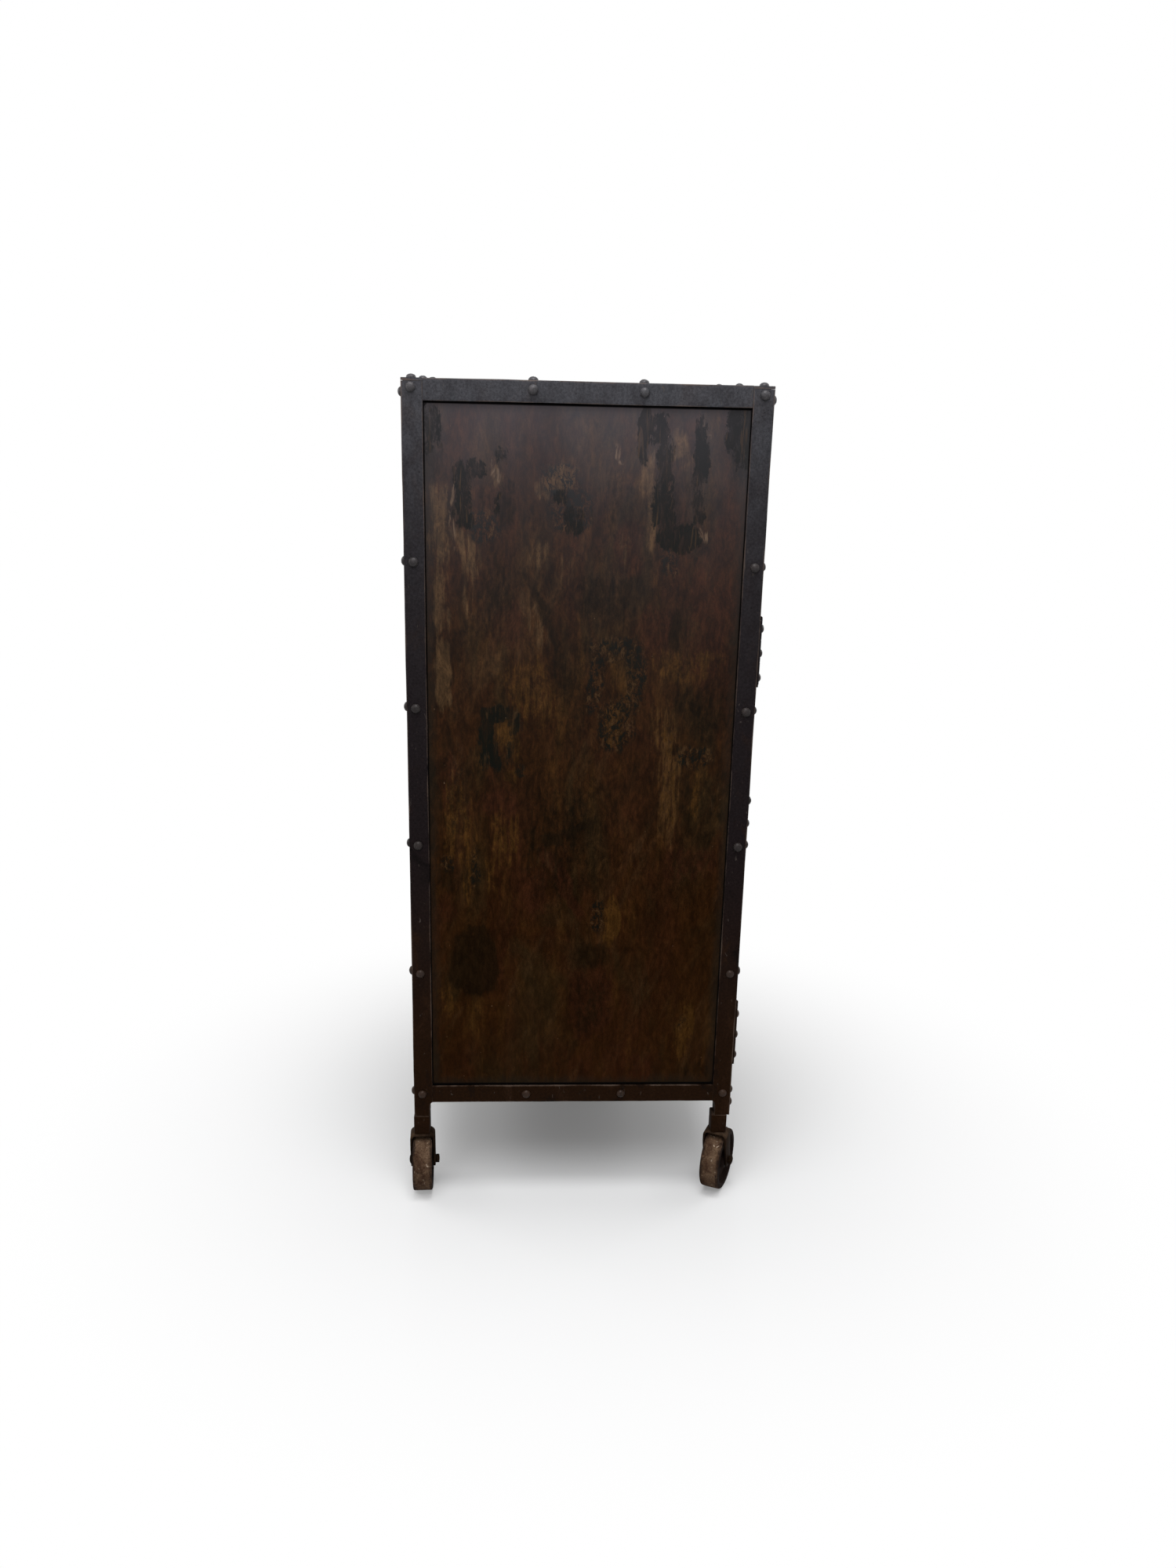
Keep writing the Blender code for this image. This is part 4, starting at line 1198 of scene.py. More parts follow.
@dataclass(frozen=True)
class FrameIron:
    """Corner posts and rails of rolled angle iron."""

    sizes: CabinetSizes
    finishes: Finishes
    leg_width: float = 0.025
    leg_bend: float = 0.005
    leg_sweep: float = 0.0115
    neck: float = 0.033
    neck_width: float = 0.026
    neck_proud: float = 0.001
    neck_soft: float = 0.0020
    core_soft: float = 0.0005
    straight: float = 0.004
    clear: float = 0.006
    lap: float = 0.001
    pitch: float = 0.018
    wave: float = 0.0005

    def post(self, side: Side, end: End) -> None:
        """Build a corner post with its narrower leg and square neck.

        Args:
            side: left or right.
            end: front or back.
        """
        s = self.sizes
        leg_bottom = s.neck_bottom + self.neck
        heights = [(leg_bottom, self.leg_width), (s.bottom - self.leg_sweep - self.straight, self.leg_width)]
        for turn in (180, 157, 135, 112, 90):
            a = math.radians(turn)
            heights.append((s.bottom - self.leg_sweep * (1 - math.sin(a)),
                            s.angle + self.leg_bend * math.cos(a)))
        heights += [(z, s.angle) for z in stations(s.bottom + self.clear, s.top - s.iron - s.fit, self.pitch)]
        corner = Vector((side.value * s.half_width, s.end_plane(end), 0))
        u_way = RIGHT_WAY * -side.value
        v_way = BACK_WAY * -end.value
        rings = []
        for z, leg in heights:
            section = angle_section(leg, s.iron)
            rings.append([corner + u_way * u + v_way * v + UP * z for u, v, _ in section])
        bm = bmesh.new()
        loft(bm, rings, [worn for _, _, worn in section])
        hammer(bm, self.wave, 3.0 * side.value + end.value)
        inset = self.neck_width - self.neck_proud
        far = corner + (u_way + v_way) * inset
        near = corner + (u_way + v_way) * s.iron / 2
        block(bm, Vector((near.x, near.y, leg_bottom + 0.0002)), Vector((far.x, far.y, s.bottom + s.iron)),
              self.core_soft)
        name = f"{end.word}_{side.word}"
        pivot = joint_place(f"{name}_swivel")
        half = Vector((self.neck_width / 2, self.neck_width / 2, 0))
        seat = Vector((pivot.x, pivot.y, s.neck_bottom))
        block(bm, seat - half, seat + half + UP * self.neck, self.neck_soft)
        # The ledge's rim is marked as a worn edge, which lightens it as wear and as a painted highlight line.
        edge = bm.verts.layers.float["edge"]
        rim_low, rim_high, stem_clear = leg_bottom - 0.0009, leg_bottom + 1e-5, 0.010
        for vert in bm.verts:
            if rim_low < vert.co.z < rim_high and (vert.co - pivot).xy.length > stem_clear:
                vert[edge] = 1.0
        publish(bm, self.finishes.iron, "frame", f"post_{name}")

    def angle_rail(self, node: str, corner: Vector, ways: tuple[Vector, Vector, Vector],
                   places: Sequence[float], wave: float, seed: float) -> None:
        """Build one straight rail of angle iron.

        Args:
            node: the CAD rail.
            corner: where its outer corner starts.
            ways: directions of its two legs and of its length.
            places: distances of its rings.
            wave: metres of its longer waves.
            seed: tells one rail's waves from another's.
        """
        bm = bmesh.new()
        bar(bm, angle_section(self.sizes.angle, self.sizes.iron), corner, *ways, places)
        hammer(bm, wave, seed)
        publish(bm, self.finishes.iron, "frame", node)

    def end_rails(self, end: End) -> None:
        """Build the top and bottom rails of the front or the back.

        Args:
            end: front or back.
        """
        s = self.sizes
        y = s.end_plane(end)
        inward = BACK_WAY * -end.value
        reach = s.half_width - s.angle - s.fit
        places = stations(-reach, reach, self.pitch)
        under = s.top - s.iron + self.lap
        bm = bmesh.new()
        bar(bm, flat_section(s.angle, s.iron), Vector((0, y, s.top)), inward, DOWN, RIGHT_WAY,
            stations(-s.half_width, s.half_width, self.pitch))
        bar(bm, flat_section(s.iron, s.angle - s.iron + self.lap), Vector((0, y, under)), inward, DOWN,
            RIGHT_WAY, places)
        hammer(bm, self.wave * 0.6, 7.0 + end.value)
        publish(bm, self.finishes.iron, "frame", f"top_rail_{end.word}")
        self.angle_rail(f"bottom_rail_{end.word}", Vector((0, y, s.bottom)), (inward, UP, RIGHT_WAY), places,
                        self.wave, 9.0 + end.value)

    def side_rails(self, side: Side) -> None:
        """Build the top and bottom rails of one side.

        Args:
            side: left or right.
        """
        s = self.sizes
        inward = RIGHT_WAY * -side.value
        places = stations(s.front + s.angle + s.fit, s.back - s.angle - s.fit, self.pitch)
        for level, z, way in (("top", s.top, DOWN), ("bottom", s.bottom, UP)):
            self.angle_rail(f"{level}_rail_{side.word}", Vector((side.value * s.half_width, 0, z)),
                            (inward, way, BACK_WAY), places, self.wave, 11.0 + side.value + z)

    def mid_rails(self) -> None:
        """Build the rail under the drawer and the angle across the back."""
        s = self.sizes
        reach = s.half_width - s.angle - s.fit
        self.angle_rail("mid_rail_front", Vector((0, s.front, s.mid_top)), (BACK_WAY, DOWN, RIGHT_WAY),
                        stations(-reach, reach, self.pitch), self.wave, 15.0)
        low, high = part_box("mid_rail_back")
        self.angle_rail("mid_rail_back", Vector((0, high.y, high.z)), (FRONT_WAY, DOWN, RIGHT_WAY),
                        stations(low.x, high.x, self.pitch * 2), wave=0.0, seed=0.0)

    def build(self) -> None:
        """Build every post and rail."""
        for end in End:
            for side in Side:
                self.post(side, end)
            self.end_rails(end)
        for side in Side:
            self.side_rails(side)
        self.mid_rails()


@dataclass(frozen=True)
class Patch:
    """One stain on a sheet, placed from the sheet's middle, in metres."""

    mark: Mark
    across: float
    up: float
    half_across: float
    half_up: float
    strength: float = 1.0
    lean: float = 0.0

    def at(self, across: float, up: float) -> float:
        """How strong the stain is at a place.

        Args:
            across: to the right, seen from outside.
            up: upward.

        Returns:
            0 to the stain's strength.
        """
        a = math.radians(self.lean)
        du, dv = across - self.across, up - self.up
        u = (du * math.cos(a) + dv * math.sin(a)) / self.half_across
        v = (dv * math.cos(a) - du * math.sin(a)) / self.half_up
        square, full, gone = 3, 0.5, 1.6
        far = (abs(u) ** square + abs(v) ** square) ** (1 / square)
        return self.strength * (1 - fade(far, full, gone))


def stain_table(rows: dict[Mark, Sequence[tuple[float, ...]]]) -> tuple[Patch, ...]:
    """Read stains from a table in millimetres.

    Args:
        rows: for each kind across, up, half across, half up, strength and, where it leans, degrees.

    Returns:
        The stains.
    """
    return tuple(Patch(mark, *(value / 1000 for value in row[:4]), *row[4:])
                 for mark in rows for row in rows[mark])


# The left sheet's stains: the loop and the hook of soot at the top, the crazed patch and the
# arch at mid height, and the bands, runs and dark square below them.
LEFT_STAINS = stain_table({
    Mark.SOOT: (
        (-175, 430, 12, 22, 0.85), (-175, 395, 12, 20, 0.9), (-170, 370, 10, 12, 0.9, -20),
        (-155, 445, 14, 12, 0.75, 15), (-120, 460, 10, 14, 0.55), (-130, 400, 8, 15, 0.5),
        (-35, 410, 12, 10, 0.8), (-20, 375, 15, 18, 0.7),
        (80, 495, 8, 36, 1.3), (100, 500, 16, 20, 0.75), (112, 450, 13, 40, 1.0), (112, 390, 14, 26, 1.1),
        (135, 352, 30, 18, 1.25), (160, 470, 11, 50, 1.0), (162, 396, 10, 30, 0.95),
        (-220, 495, 15, 35, 0.5), (217, 500, 18, 45, 1.0),
        (-125, 92, 24, 10, 0.95), (-142, 66, 11, 24, 1.0), (-136, 28, 11, 24, 1.0), (-100, 76, 8, 20, 0.75),
        (-108, 30, 6, 22, 0.6), (-126, 18, 20, 11, 0.8), (-92, 0, 11, 12, 0.7),
    ),
    Mark.SHADE: (
        (-115, 400, 14, 32, 0.7), (-146, 406, 15, 21, 0.4), (142, 404, 18, 36, 0.65),
        (-220, 480, 15, 50, 0.8),
        (217, 490, 18, 52, 1.2), (38, 400, 34, 54, 0.45), (-126, 276, 27, 68, 0.5), (32, 263, 50, 32, 0.65),
        (-46, 210, 6, 104, 0.75, 22), (-80, 300, 20, 30, 0.35, 25), (-17, 122, 35, 90, 0.45),
        (135, 222, 8, 32, 1.1), (-124, -10, 38, 20, 0.4), (180, 96, 40, 45, 0.6), (-70, -126, 12, 50, 0.6),
        (-18, -118, 62, 100, 0.5), (-205, -172, 15, 26, 0.8), (-25, -180, 26, 36, 0.45),
        (0, -90, 27, 5, 1.5, 28), (-43, -110, 18, 10, 1.1), (160, -36, 10, 40, 0.5), (205, -38, 20, 58, 0.4),
        (24, -303, 26, 24, 0.9), (24, -386, 34, 62, 0.55), (-162, -317, 30, 44, 2.2),
        (-157, -264, 14, 14, 1.1),
        (198, -508, 28, 16, 0.6),
    ),
    Mark.RUST: (
        (-146, 406, 15, 21, 0.5), (142, 404, 18, 36, 0.5), (62, 338, 20, 44, 1.0), (186, 225, 40, 100, 0.8),
        (110, 215, 36, 38, 0.8), (-108, 220, 27, 36, 0.7), (-200, -20, 17, 50, 0.7), (-126, -50, 37, 21, 0.7),
        (-66, -194, 22, 40, 0.8), (-203, -222, 18, 28, 0.7), (-23, -180, 9, 64, 1.2, 28),
        (175, -148, 40, 28, 0.6), (24, -386, 34, 62, 1.0), (125, -506, 42, 27, 0.5),
    ),
    Mark.CRACKLE: (
        (-147, 366, 21, 21, 1.0, 25), (-36, 434, 26, 22, 1.0), (-24, 388, 29, 28, 1.1),
        (123, 318, 16, 18, 0.8),
        (48, 190, 37, 18, 1.15), (21, 138, 10, 45, 1.1), (78, 143, 15, 41, 1.1), (53, 74, 25, 38, 1.1),
        (-182, -49, 20, 81, 0.5), (-200, -150, 13, 14, 0.9), (-157, -158, 9, 36, 0.8), (172, 24, 28, 18, 1.0),
        (31, -238, 9, 25, 1.0), (170, -422, 7, 16, 0.6),
    ),
    Mark.CREAM: (
        (-138, 458, 6, 12, 0.8, 20), (-130, 435, 7, 12, 0.8), (-187, 395, 7, 64, 0.7),
        (47, 468, 6, 14, 1.0, 14),
        (92, 450, 7, 36, 0.6), (173, 504, 14, 22, 0.6), (168, 360, 7, 17, 0.8),
    ),
    Mark.TAN: (
        (-130, 435, 9, 15, 0.6), (-169, 324, 14, 33, 0.75), (-35, 435, 23, 19, 0.8), (-62, 420, 9, 15, 0.6),
        (128, 482, 11, 21, 1.0), (140, 442, 11, 39, 0.4), (87, 439, 13, 31, 0.7), (96, 372, 8, 37, 0.8),
        (62, 330, 18, 40, 0.3), (-31, 306, 24, 27, 0.3), (-66, 327, 13, 22, 0.55), (-211, 366, 15, 56, 0.7),
        (-209, 254, 11, 50, 0.7), (-205, 148, 11, 46, 1.2), (-169, 280, 13, 58, 0.4),
        (-69, 227, 15, 45, 0.4, 22),
        (-66, 123, 14, 34, 0.45, 24), (127, 73, 23, 40, 0.4), (-188, 20, 14, 34, 0.25),
        (-45, -148, 11, 22, 0.3, 25), (133, -29, 17, 87, 0.5), (205, -30, 15, 40, 0.3),
    ),
    Mark.OCHRE: (
        (153, 167, 53, 25, 0.5), (-73, 126, 35, 52, 0.6, 24), (51, 148, 17, 29, 0.35), (52, 74, 19, 31, 0.6),
        (-114, 61, 15, 24, 0.8), (-98, 32, 6, 24, 0.6), (-110, -7, 14, 12, 0.7), (127, 73, 23, 40, 0.4),
        (-192, -80, 15, 66, 0.6), (-171, -130, 10, 87, 0.6), (-116, -114, 24, 47, 0.5),
        (-133, -178, 9, 32, 0.6),
        (133, -29, 17, 87, 0.45), (178, -34, 11, 43, 0.5), (52, -244, 10, 39, 1.0), (-204, -373, 11, 36, 0.5),
        (-154, -412, 19, 36, 0.35), (179, -439, 13, 51, 0.75),
    ),
})


def strewn_stains(half_across: float, half_up: float, seed: int) -> tuple[Patch, ...]:
    """Strew stains of every kind over a sheet.

    Args:
        half_across: half of the sheet's width.
        half_up: half of its height.
        seed: tells one sheet from another.

    Returns:
        The stains.
    """
    kinds = (Mark.SOOT, Mark.OCHRE, Mark.SHADE, Mark.CRACKLE, Mark.RUST, Mark.TAN, Mark.OCHRE, Mark.SHADE,
             Mark.RUST, Mark.CREAM)
    fewest, density, reach = 10, 260, 0.92
    count = max(fewest, round(half_across * half_up * density))
    stains = []
    for i in range(count):
        spin = noise.cell_vector(Vector((seed * 31 + i * 3.7, i * 1.9 + seed, seed * 0.7)))
        size = noise.cell_vector(Vector((i * 5.3 + seed, seed * 17 - i * 2.1, i * 0.37)))
        mark = kinds[i % len(kinds)]
        small = 0.45 if mark is Mark.CREAM else 1.0
        stains.append(Patch(mark, (spin.x * 2 - 1) * half_across * reach, (spin.y * 2 - 1) * half_up * reach,
                            (0.012 + 0.026 * size.x) * small, (0.025 + 0.075 * size.y) * small,
                            0.45 + 0.4 * size.z, (spin.z - 0.5) * 20))
    return tuple(stains)


@dataclass(frozen=True)
class SheetSkin:
    """A sheet with a patina on its outer face, slightly wavy where it isn't held."""

    name: str
    node: str
    body: str
    right: Vector
    up: Vector
    finishes: Finishes
    stains: tuple[Patch, ...] = ()
    seed: int = 1
    hidden: float = 0.0257
    cell: float = 0.008
    wave: float = 0.0012
    held: float = 0.004
    free: float = 0.090
    back_inset: float = 0.1
    replaces: bool = True

    def build(self, low: Vector | None = None, high: Vector | None = None) -> None:
        """Build the sheet.

        Args:
            low: lowest corner, or the node's.
            high: highest corner, or the node's.
        """
        if low is None or high is None:
            low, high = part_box(self.node)
        out = self.right.cross(self.up)
        middle = (low + high) / 2
        size = high - low
        wide, tall, thick = (abs(size.dot(way)) for way in (self.right, self.up, out))
        stains = self.stains or strewn_stains(wide / 2, tall / 2, self.seed)
        across = stations(-wide / 2, wide / 2, self.cell)
        upward = stations(-tall / 2, tall / 2, self.cell)
        bm = bmesh.new()
        layers = {mark: bm.verts.layers.float.new(mark.value) for mark in Mark}
        inset = bm.verts.layers.float.new("inset")
        rows = []
        for v in upward:
            row = []
            for u in across:
                inner = min(wide / 2 - abs(u), tall / 2 - abs(v)) - self.hidden
                bulge = noise.noise(Vector((u / 0.16, v / 0.22, self.seed * 3.1))) * 0.5 + 0.5
                rise = self.wave * bulge * fade(inner, self.held, self.free)
                vert = bm.verts.new(middle + self.right * u + self.up * v + out * (thick / 2 + rise))
                vert[inset] = inner
                # Stains are read a little aside, by a broad and a fine noise, so that their rims are ragged.
                warp = noise.noise_vector(Vector((u / 0.035, v / 0.05, self.seed * 7.7))) * 0.007
                warp += noise.noise_vector(Vector((u / 0.014, v / 0.022, self.seed * 5.3))) * 0.004
                for mark, layer in layers.items():
                    found = [stain.at(u + warp.x, v + warp.y) for stain in stains if stain.mark is mark]
                    vert[layer] = max(found, default=0.0)
                row.append(vert)
            rows.append(row)
        for lower, upper in zip(rows, rows[1:]):
            for i in range(len(across) - 1):
                bm.faces.new((lower[i], lower[i + 1], upper[i + 1], upper[i]))
        rim = rows[0] + [row[-1] for row in rows[1:]] + rows[-1][-2::-1] + [row[0] for row in rows[-2:0:-1]]
        behind = [bm.verts.new(vert.co - out * thick) for vert in rim]
        for vert in behind:
            vert[inset] = self.back_inset
        for i in range(len(rim)):
            j = (i + 1) % len(rim)
            bm.faces.new((rim[i], behind[i], behind[j], rim[j]))
        bm.faces.new(behind[::-1])
        publish(bm, self.finishes.patina, self.body, self.node if self.replaces else "", self.name)


@dataclass(frozen=True)
class Skins:
    """The sheets of the carcase."""

    finishes: Finishes
    fine_cell: float = 0.0045

    def build(self) -> None:
        """Build the sides, back and top."""
        SheetSkin("left_side_sheet", "side_panel_left", "frame", FRONT_WAY, UP, self.finishes, LEFT_STAINS,
                  cell=self.fine_cell).build()
        others = (("right_side_sheet", "side_panel_right", BACK_WAY, UP),
                  ("back_sheet", "back_panel", LEFT_WAY, UP),
                  ("top_sheet", "top_panel", RIGHT_WAY, BACK_WAY))
        for seed, (name, node, right, up) in enumerate(others, start=2):
            SheetSkin(name, node, "frame", right, up, self.finishes, seed=seed).build()


@dataclass(frozen=True)
class Interior:
    """Sheet and angle pieces behind the doors and under the drawer."""

    finishes: Finishes
    soft: float = 0.0004

    def build(self) -> None:
        """Build the floor, deck, shelf, cleats and guides."""
        for node in ("bottom_panel", "drawer_deck", "shelf"):
            publish(softened(node, self.soft), self.finishes.inside, "frame", node)
        for side in Side:
            for node in (f"shelf_cleat_{side.word}", f"drawer_guide_{side.word}"):
                publish(softened(node, self.soft), self.finishes.iron, "frame", node, f"inside_{node}")


@dataclass(frozen=True)
class Hinges:
    """Surface butt hinges with rolled knuckles and headed pins."""

    finishes: Finishes
    barrel: float = 0.0042
    pin: float = 0.0022
    pin_head: float = 0.003
    leaf: float = 0.003
    gap: float = 0.0004
    fit: float = 0.0003
    leaf_soft: float = 0.0006
    roll_soft: float = 0.0003
    barrel_soft: float = 0.0005
    barrel_sides: int = 28
    pin_sides: int = 24

    def leaf_piece(self, node: str, body: str, axis: Vector, knuckles: Sequence[tuple[float, float]]) -> None:
        """Build one leaf.

        Args:
            node: the CAD leaf.
            body: the body that it rides on.
            axis: a point on the hinge's axis.
            knuckles: bottom and top of each knuckle.
        """
        low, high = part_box(node)
        front, back = axis.y + self.barrel - self.leaf, axis.y + self.barrel
        way = 1 if (low.x + high.x) / 2 > axis.x else -1
        near = axis.x + way * (self.barrel + self.gap)
        far = high.x if way > 0 else low.x
        bm = bmesh.new()
        block(bm, Vector((near, front, low.z)), Vector((far, back, high.z)), self.leaf_soft)
        soft = self.barrel_soft
        for start, end in knuckles:
            block(bm, Vector((axis.x, front, start)), Vector((near + way * 0.001, back, end)), self.roll_soft)
            profile = [(0, start), (self.barrel - soft, start), (self.barrel, start + soft),
                       (self.barrel, end - soft), (self.barrel - soft, end), (0, end)]
            lathe(bm, profile, self.barrel_sides, Matrix.Translation((axis.x, axis.y, 0)))
        publish(bm, self.finishes.iron, body, node)

    def build(self) -> None:
        """Build the four hinges."""
        for side in Side:
            axis = joint_place(f"{side.word}_door_hinge")
            for level in LEVELS:
                low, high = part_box(f"hinge_door_leaf_{level}_{side.word}")
                bottom, top = low.z, high.z
                third = (top - bottom) / 3
                outer = [(bottom, bottom + third - self.gap), (top - third + self.gap, top)]
                self.leaf_piece(f"hinge_frame_leaf_{level}_{side.word}", "frame", axis, outer)
                self.leaf_piece(f"hinge_door_leaf_{level}_{side.word}", f"{side.word}_door", axis,
                                [(bottom + third, top - third)])
                self.pin_piece(f"hinge_pin_{level}_{side.word}", axis, bottom - self.fit, top + self.fit)

    def pin_piece(self, node: str, axis: Vector, bottom: float, top: float) -> None:
        """Build one pin with a domed head at each end.

        Args:
            node: the CAD pin.
            axis: a point on the hinge's axis.
            bottom: underside of the shank.
            top: top of the shank.
        """
        head = dome(self.barrel, self.pin_head)
        profile = [(radius, bottom - height) for radius, height in reversed(head)]
        profile += [(self.pin, bottom), (self.pin, top)]
        profile += [(radius, top + height) for radius, height in head]
        bm = bmesh.new()
        lathe(bm, profile, self.pin_sides, Matrix.Translation((axis.x, axis.y, 0)))
        publish(bm, self.finishes.forged, "frame", node)


@dataclass(frozen=True)
class FrontBorder:
    """A flat-bar border round a door or the drawer, in the plane of the front."""

    sizes: CabinetSizes
    finishes: Finishes
    stile: float = 0.030
    pitch: float = 0.020
    wave: float = 0.0004

    def build(self, node: str, body: str, seed: float, name: str = "") -> None:
        """Build a border round a CAD node.

        Args:
            node: the CAD node that it stands for.
            body: the body that it rides on.
            seed: tells one border's waves from another's.
            name: the piece's name, or else one made of the node's.
        """
        low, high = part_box(node)
        front = self.sizes.front
        section = flat_section(self.stile, self.sizes.iron)
        corners = ((low.x, low.z, 1, 1), (high.x, low.z, -1, 1), (high.x, high.z, -1, -1),
                   (low.x, high.z, 1, -1))
        rings = []
        for i, (x0, z0, sx0, sz0) in enumerate(corners):
            x1, z1, sx1, sz1 = corners[(i + 1) % len(corners)]
            for part in stations(0.0, 1.0, self.pitch / (abs(x1 - x0) + abs(z1 - z0)))[:-1]:
                ring = []
                for u, v, _ in section:
                    start = Vector((x0 + sx0 * u, front + v, z0 + sz0 * u))
                    end = Vector((x1 + sx1 * u, front + v, z1 + sz1 * u))
                    ring.append(start.lerp(end, part))
                rings.append(ring)
        bm = bmesh.new()
        loft(bm, rings, [worn for _, _, worn in section], closed=True)
        hammer(bm, self.wave, seed)
        publish(bm, self.finishes.iron, body, node, name)


@dataclass(frozen=True)
class LoopHandle:
    """A bent rod standing off a face on two domed feet."""

    finishes: Finishes
    tree: RodTree
    rod: float = 0.005
    bend: float = 0.012
    foot: float = 0.011
    foot_rise: float = 0.003
    foot_sides: int = 28
    rod_sides: int = 20

    def build(self, node: str, body: str, upright: bool) -> None:
        """Build a handle in a CAD handle's place.

        Args:
            node: the CAD handle.
            body: the body that it rides on.
            upright: runs up the face, not across it.
        """
        low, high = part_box(node)
        middle = (low + high) / 2
        along = UP if upright else RIGHT_WAY
        half = (high - low).dot(along) / 2 - self.foot
        height = high.y - low.y - self.rod
        base = Vector((middle.x, high.y, middle.z))
        path = [(-half, 0.001)]
        for a in quarter(9):
            path.append((-half + self.bend * (1 - math.cos(a)), height - self.bend * (1 - math.sin(a))))
        path += [(-u, v) for u, v in reversed(path)]
        line = bpy.data.meshes.new(node + "_path")
        line.from_pydata([tuple(base + along * u + FRONT_WAY * v) for u, v in path],
                         [(i, i + 1) for i in range(len(path) - 1)], [])
        rod = self.tree.run(line, node + "_rod", {"Rod Radius": self.rod, "Sides": self.rod_sides,
                                                  "Material": self.finishes.forged.material})
        bm = bmesh.new()
        bm.from_mesh(rod)
        foot, rise = self.foot, self.foot_rise
        profile = [(0, 0), (foot, 0), (foot, rise * 0.35), (foot * 0.93, rise * 0.7),
                   (foot * 0.78, rise * 0.95), (self.rod * 1.25, rise * 1.1), (self.rod * 1.02, rise * 1.7),
                   (0, rise * 1.7)]
        turn = Matrix.Rotation(math.pi / 2, 4, "X")
        for end in (-half, half):
            lathe(bm, profile, self.foot_sides, Matrix.Translation(base + along * end) @ turn)
        publish(bm, self.finishes.forged, body, node, smooth=50.0)


@dataclass(frozen=True)
class Doors:
    """Two doors: a riveted flat-bar border, a sheet behind it and a bar handle."""

    finishes: Finishes
    border: FrontBorder
    handle: LoopHandle
    hidden: float = 0.024

    def build(self) -> None:
        """Build both doors."""
        for side in Side:
            body = f"{side.word}_door"
            self.border.build(f"door_frame_{side.word}", body, 21.0 + side.value)
            SheetSkin(f"{side.word}_door_sheet", f"door_panel_{side.word}", body, RIGHT_WAY, UP,
                      self.finishes, seed=6 + side.value, hidden=self.hidden).build()
            self.handle.build(f"door_handle_{side.word}", body, True)


@dataclass(frozen=True)
class Drawer:
    """The drawer: a bordered front with a sheet behind, two pulls and a sheet box."""

    finishes: Finishes
    border: FrontBorder
    handle: LoopHandle
    plate: float = 0.002
    hidden: float = 0.030
    wave: float = 0.0008
    soft: float = 0.0004

    def build(self) -> None:
        """Build the drawer."""
        self.border.build("drawer_front", "drawer", 31.0, "iron_drawer_border")
        low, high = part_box("drawer_front")
        back = self.border.sizes.front + self.border.sizes.iron
        skin = SheetSkin("drawer_sheet", "drawer_front", "drawer", RIGHT_WAY, UP, self.finishes, seed=9,
                         hidden=self.hidden, wave=self.wave, replaces=False)
        skin.build(Vector((low.x, back, low.z)), Vector((high.x, back + self.plate, high.z)))
        publish(softened("drawer_box", self.soft), self.finishes.inside, "drawer", "drawer_box")
        for side in Side:
            self.handle.build(f"drawer_pull_{side.word}", "drawer", False)


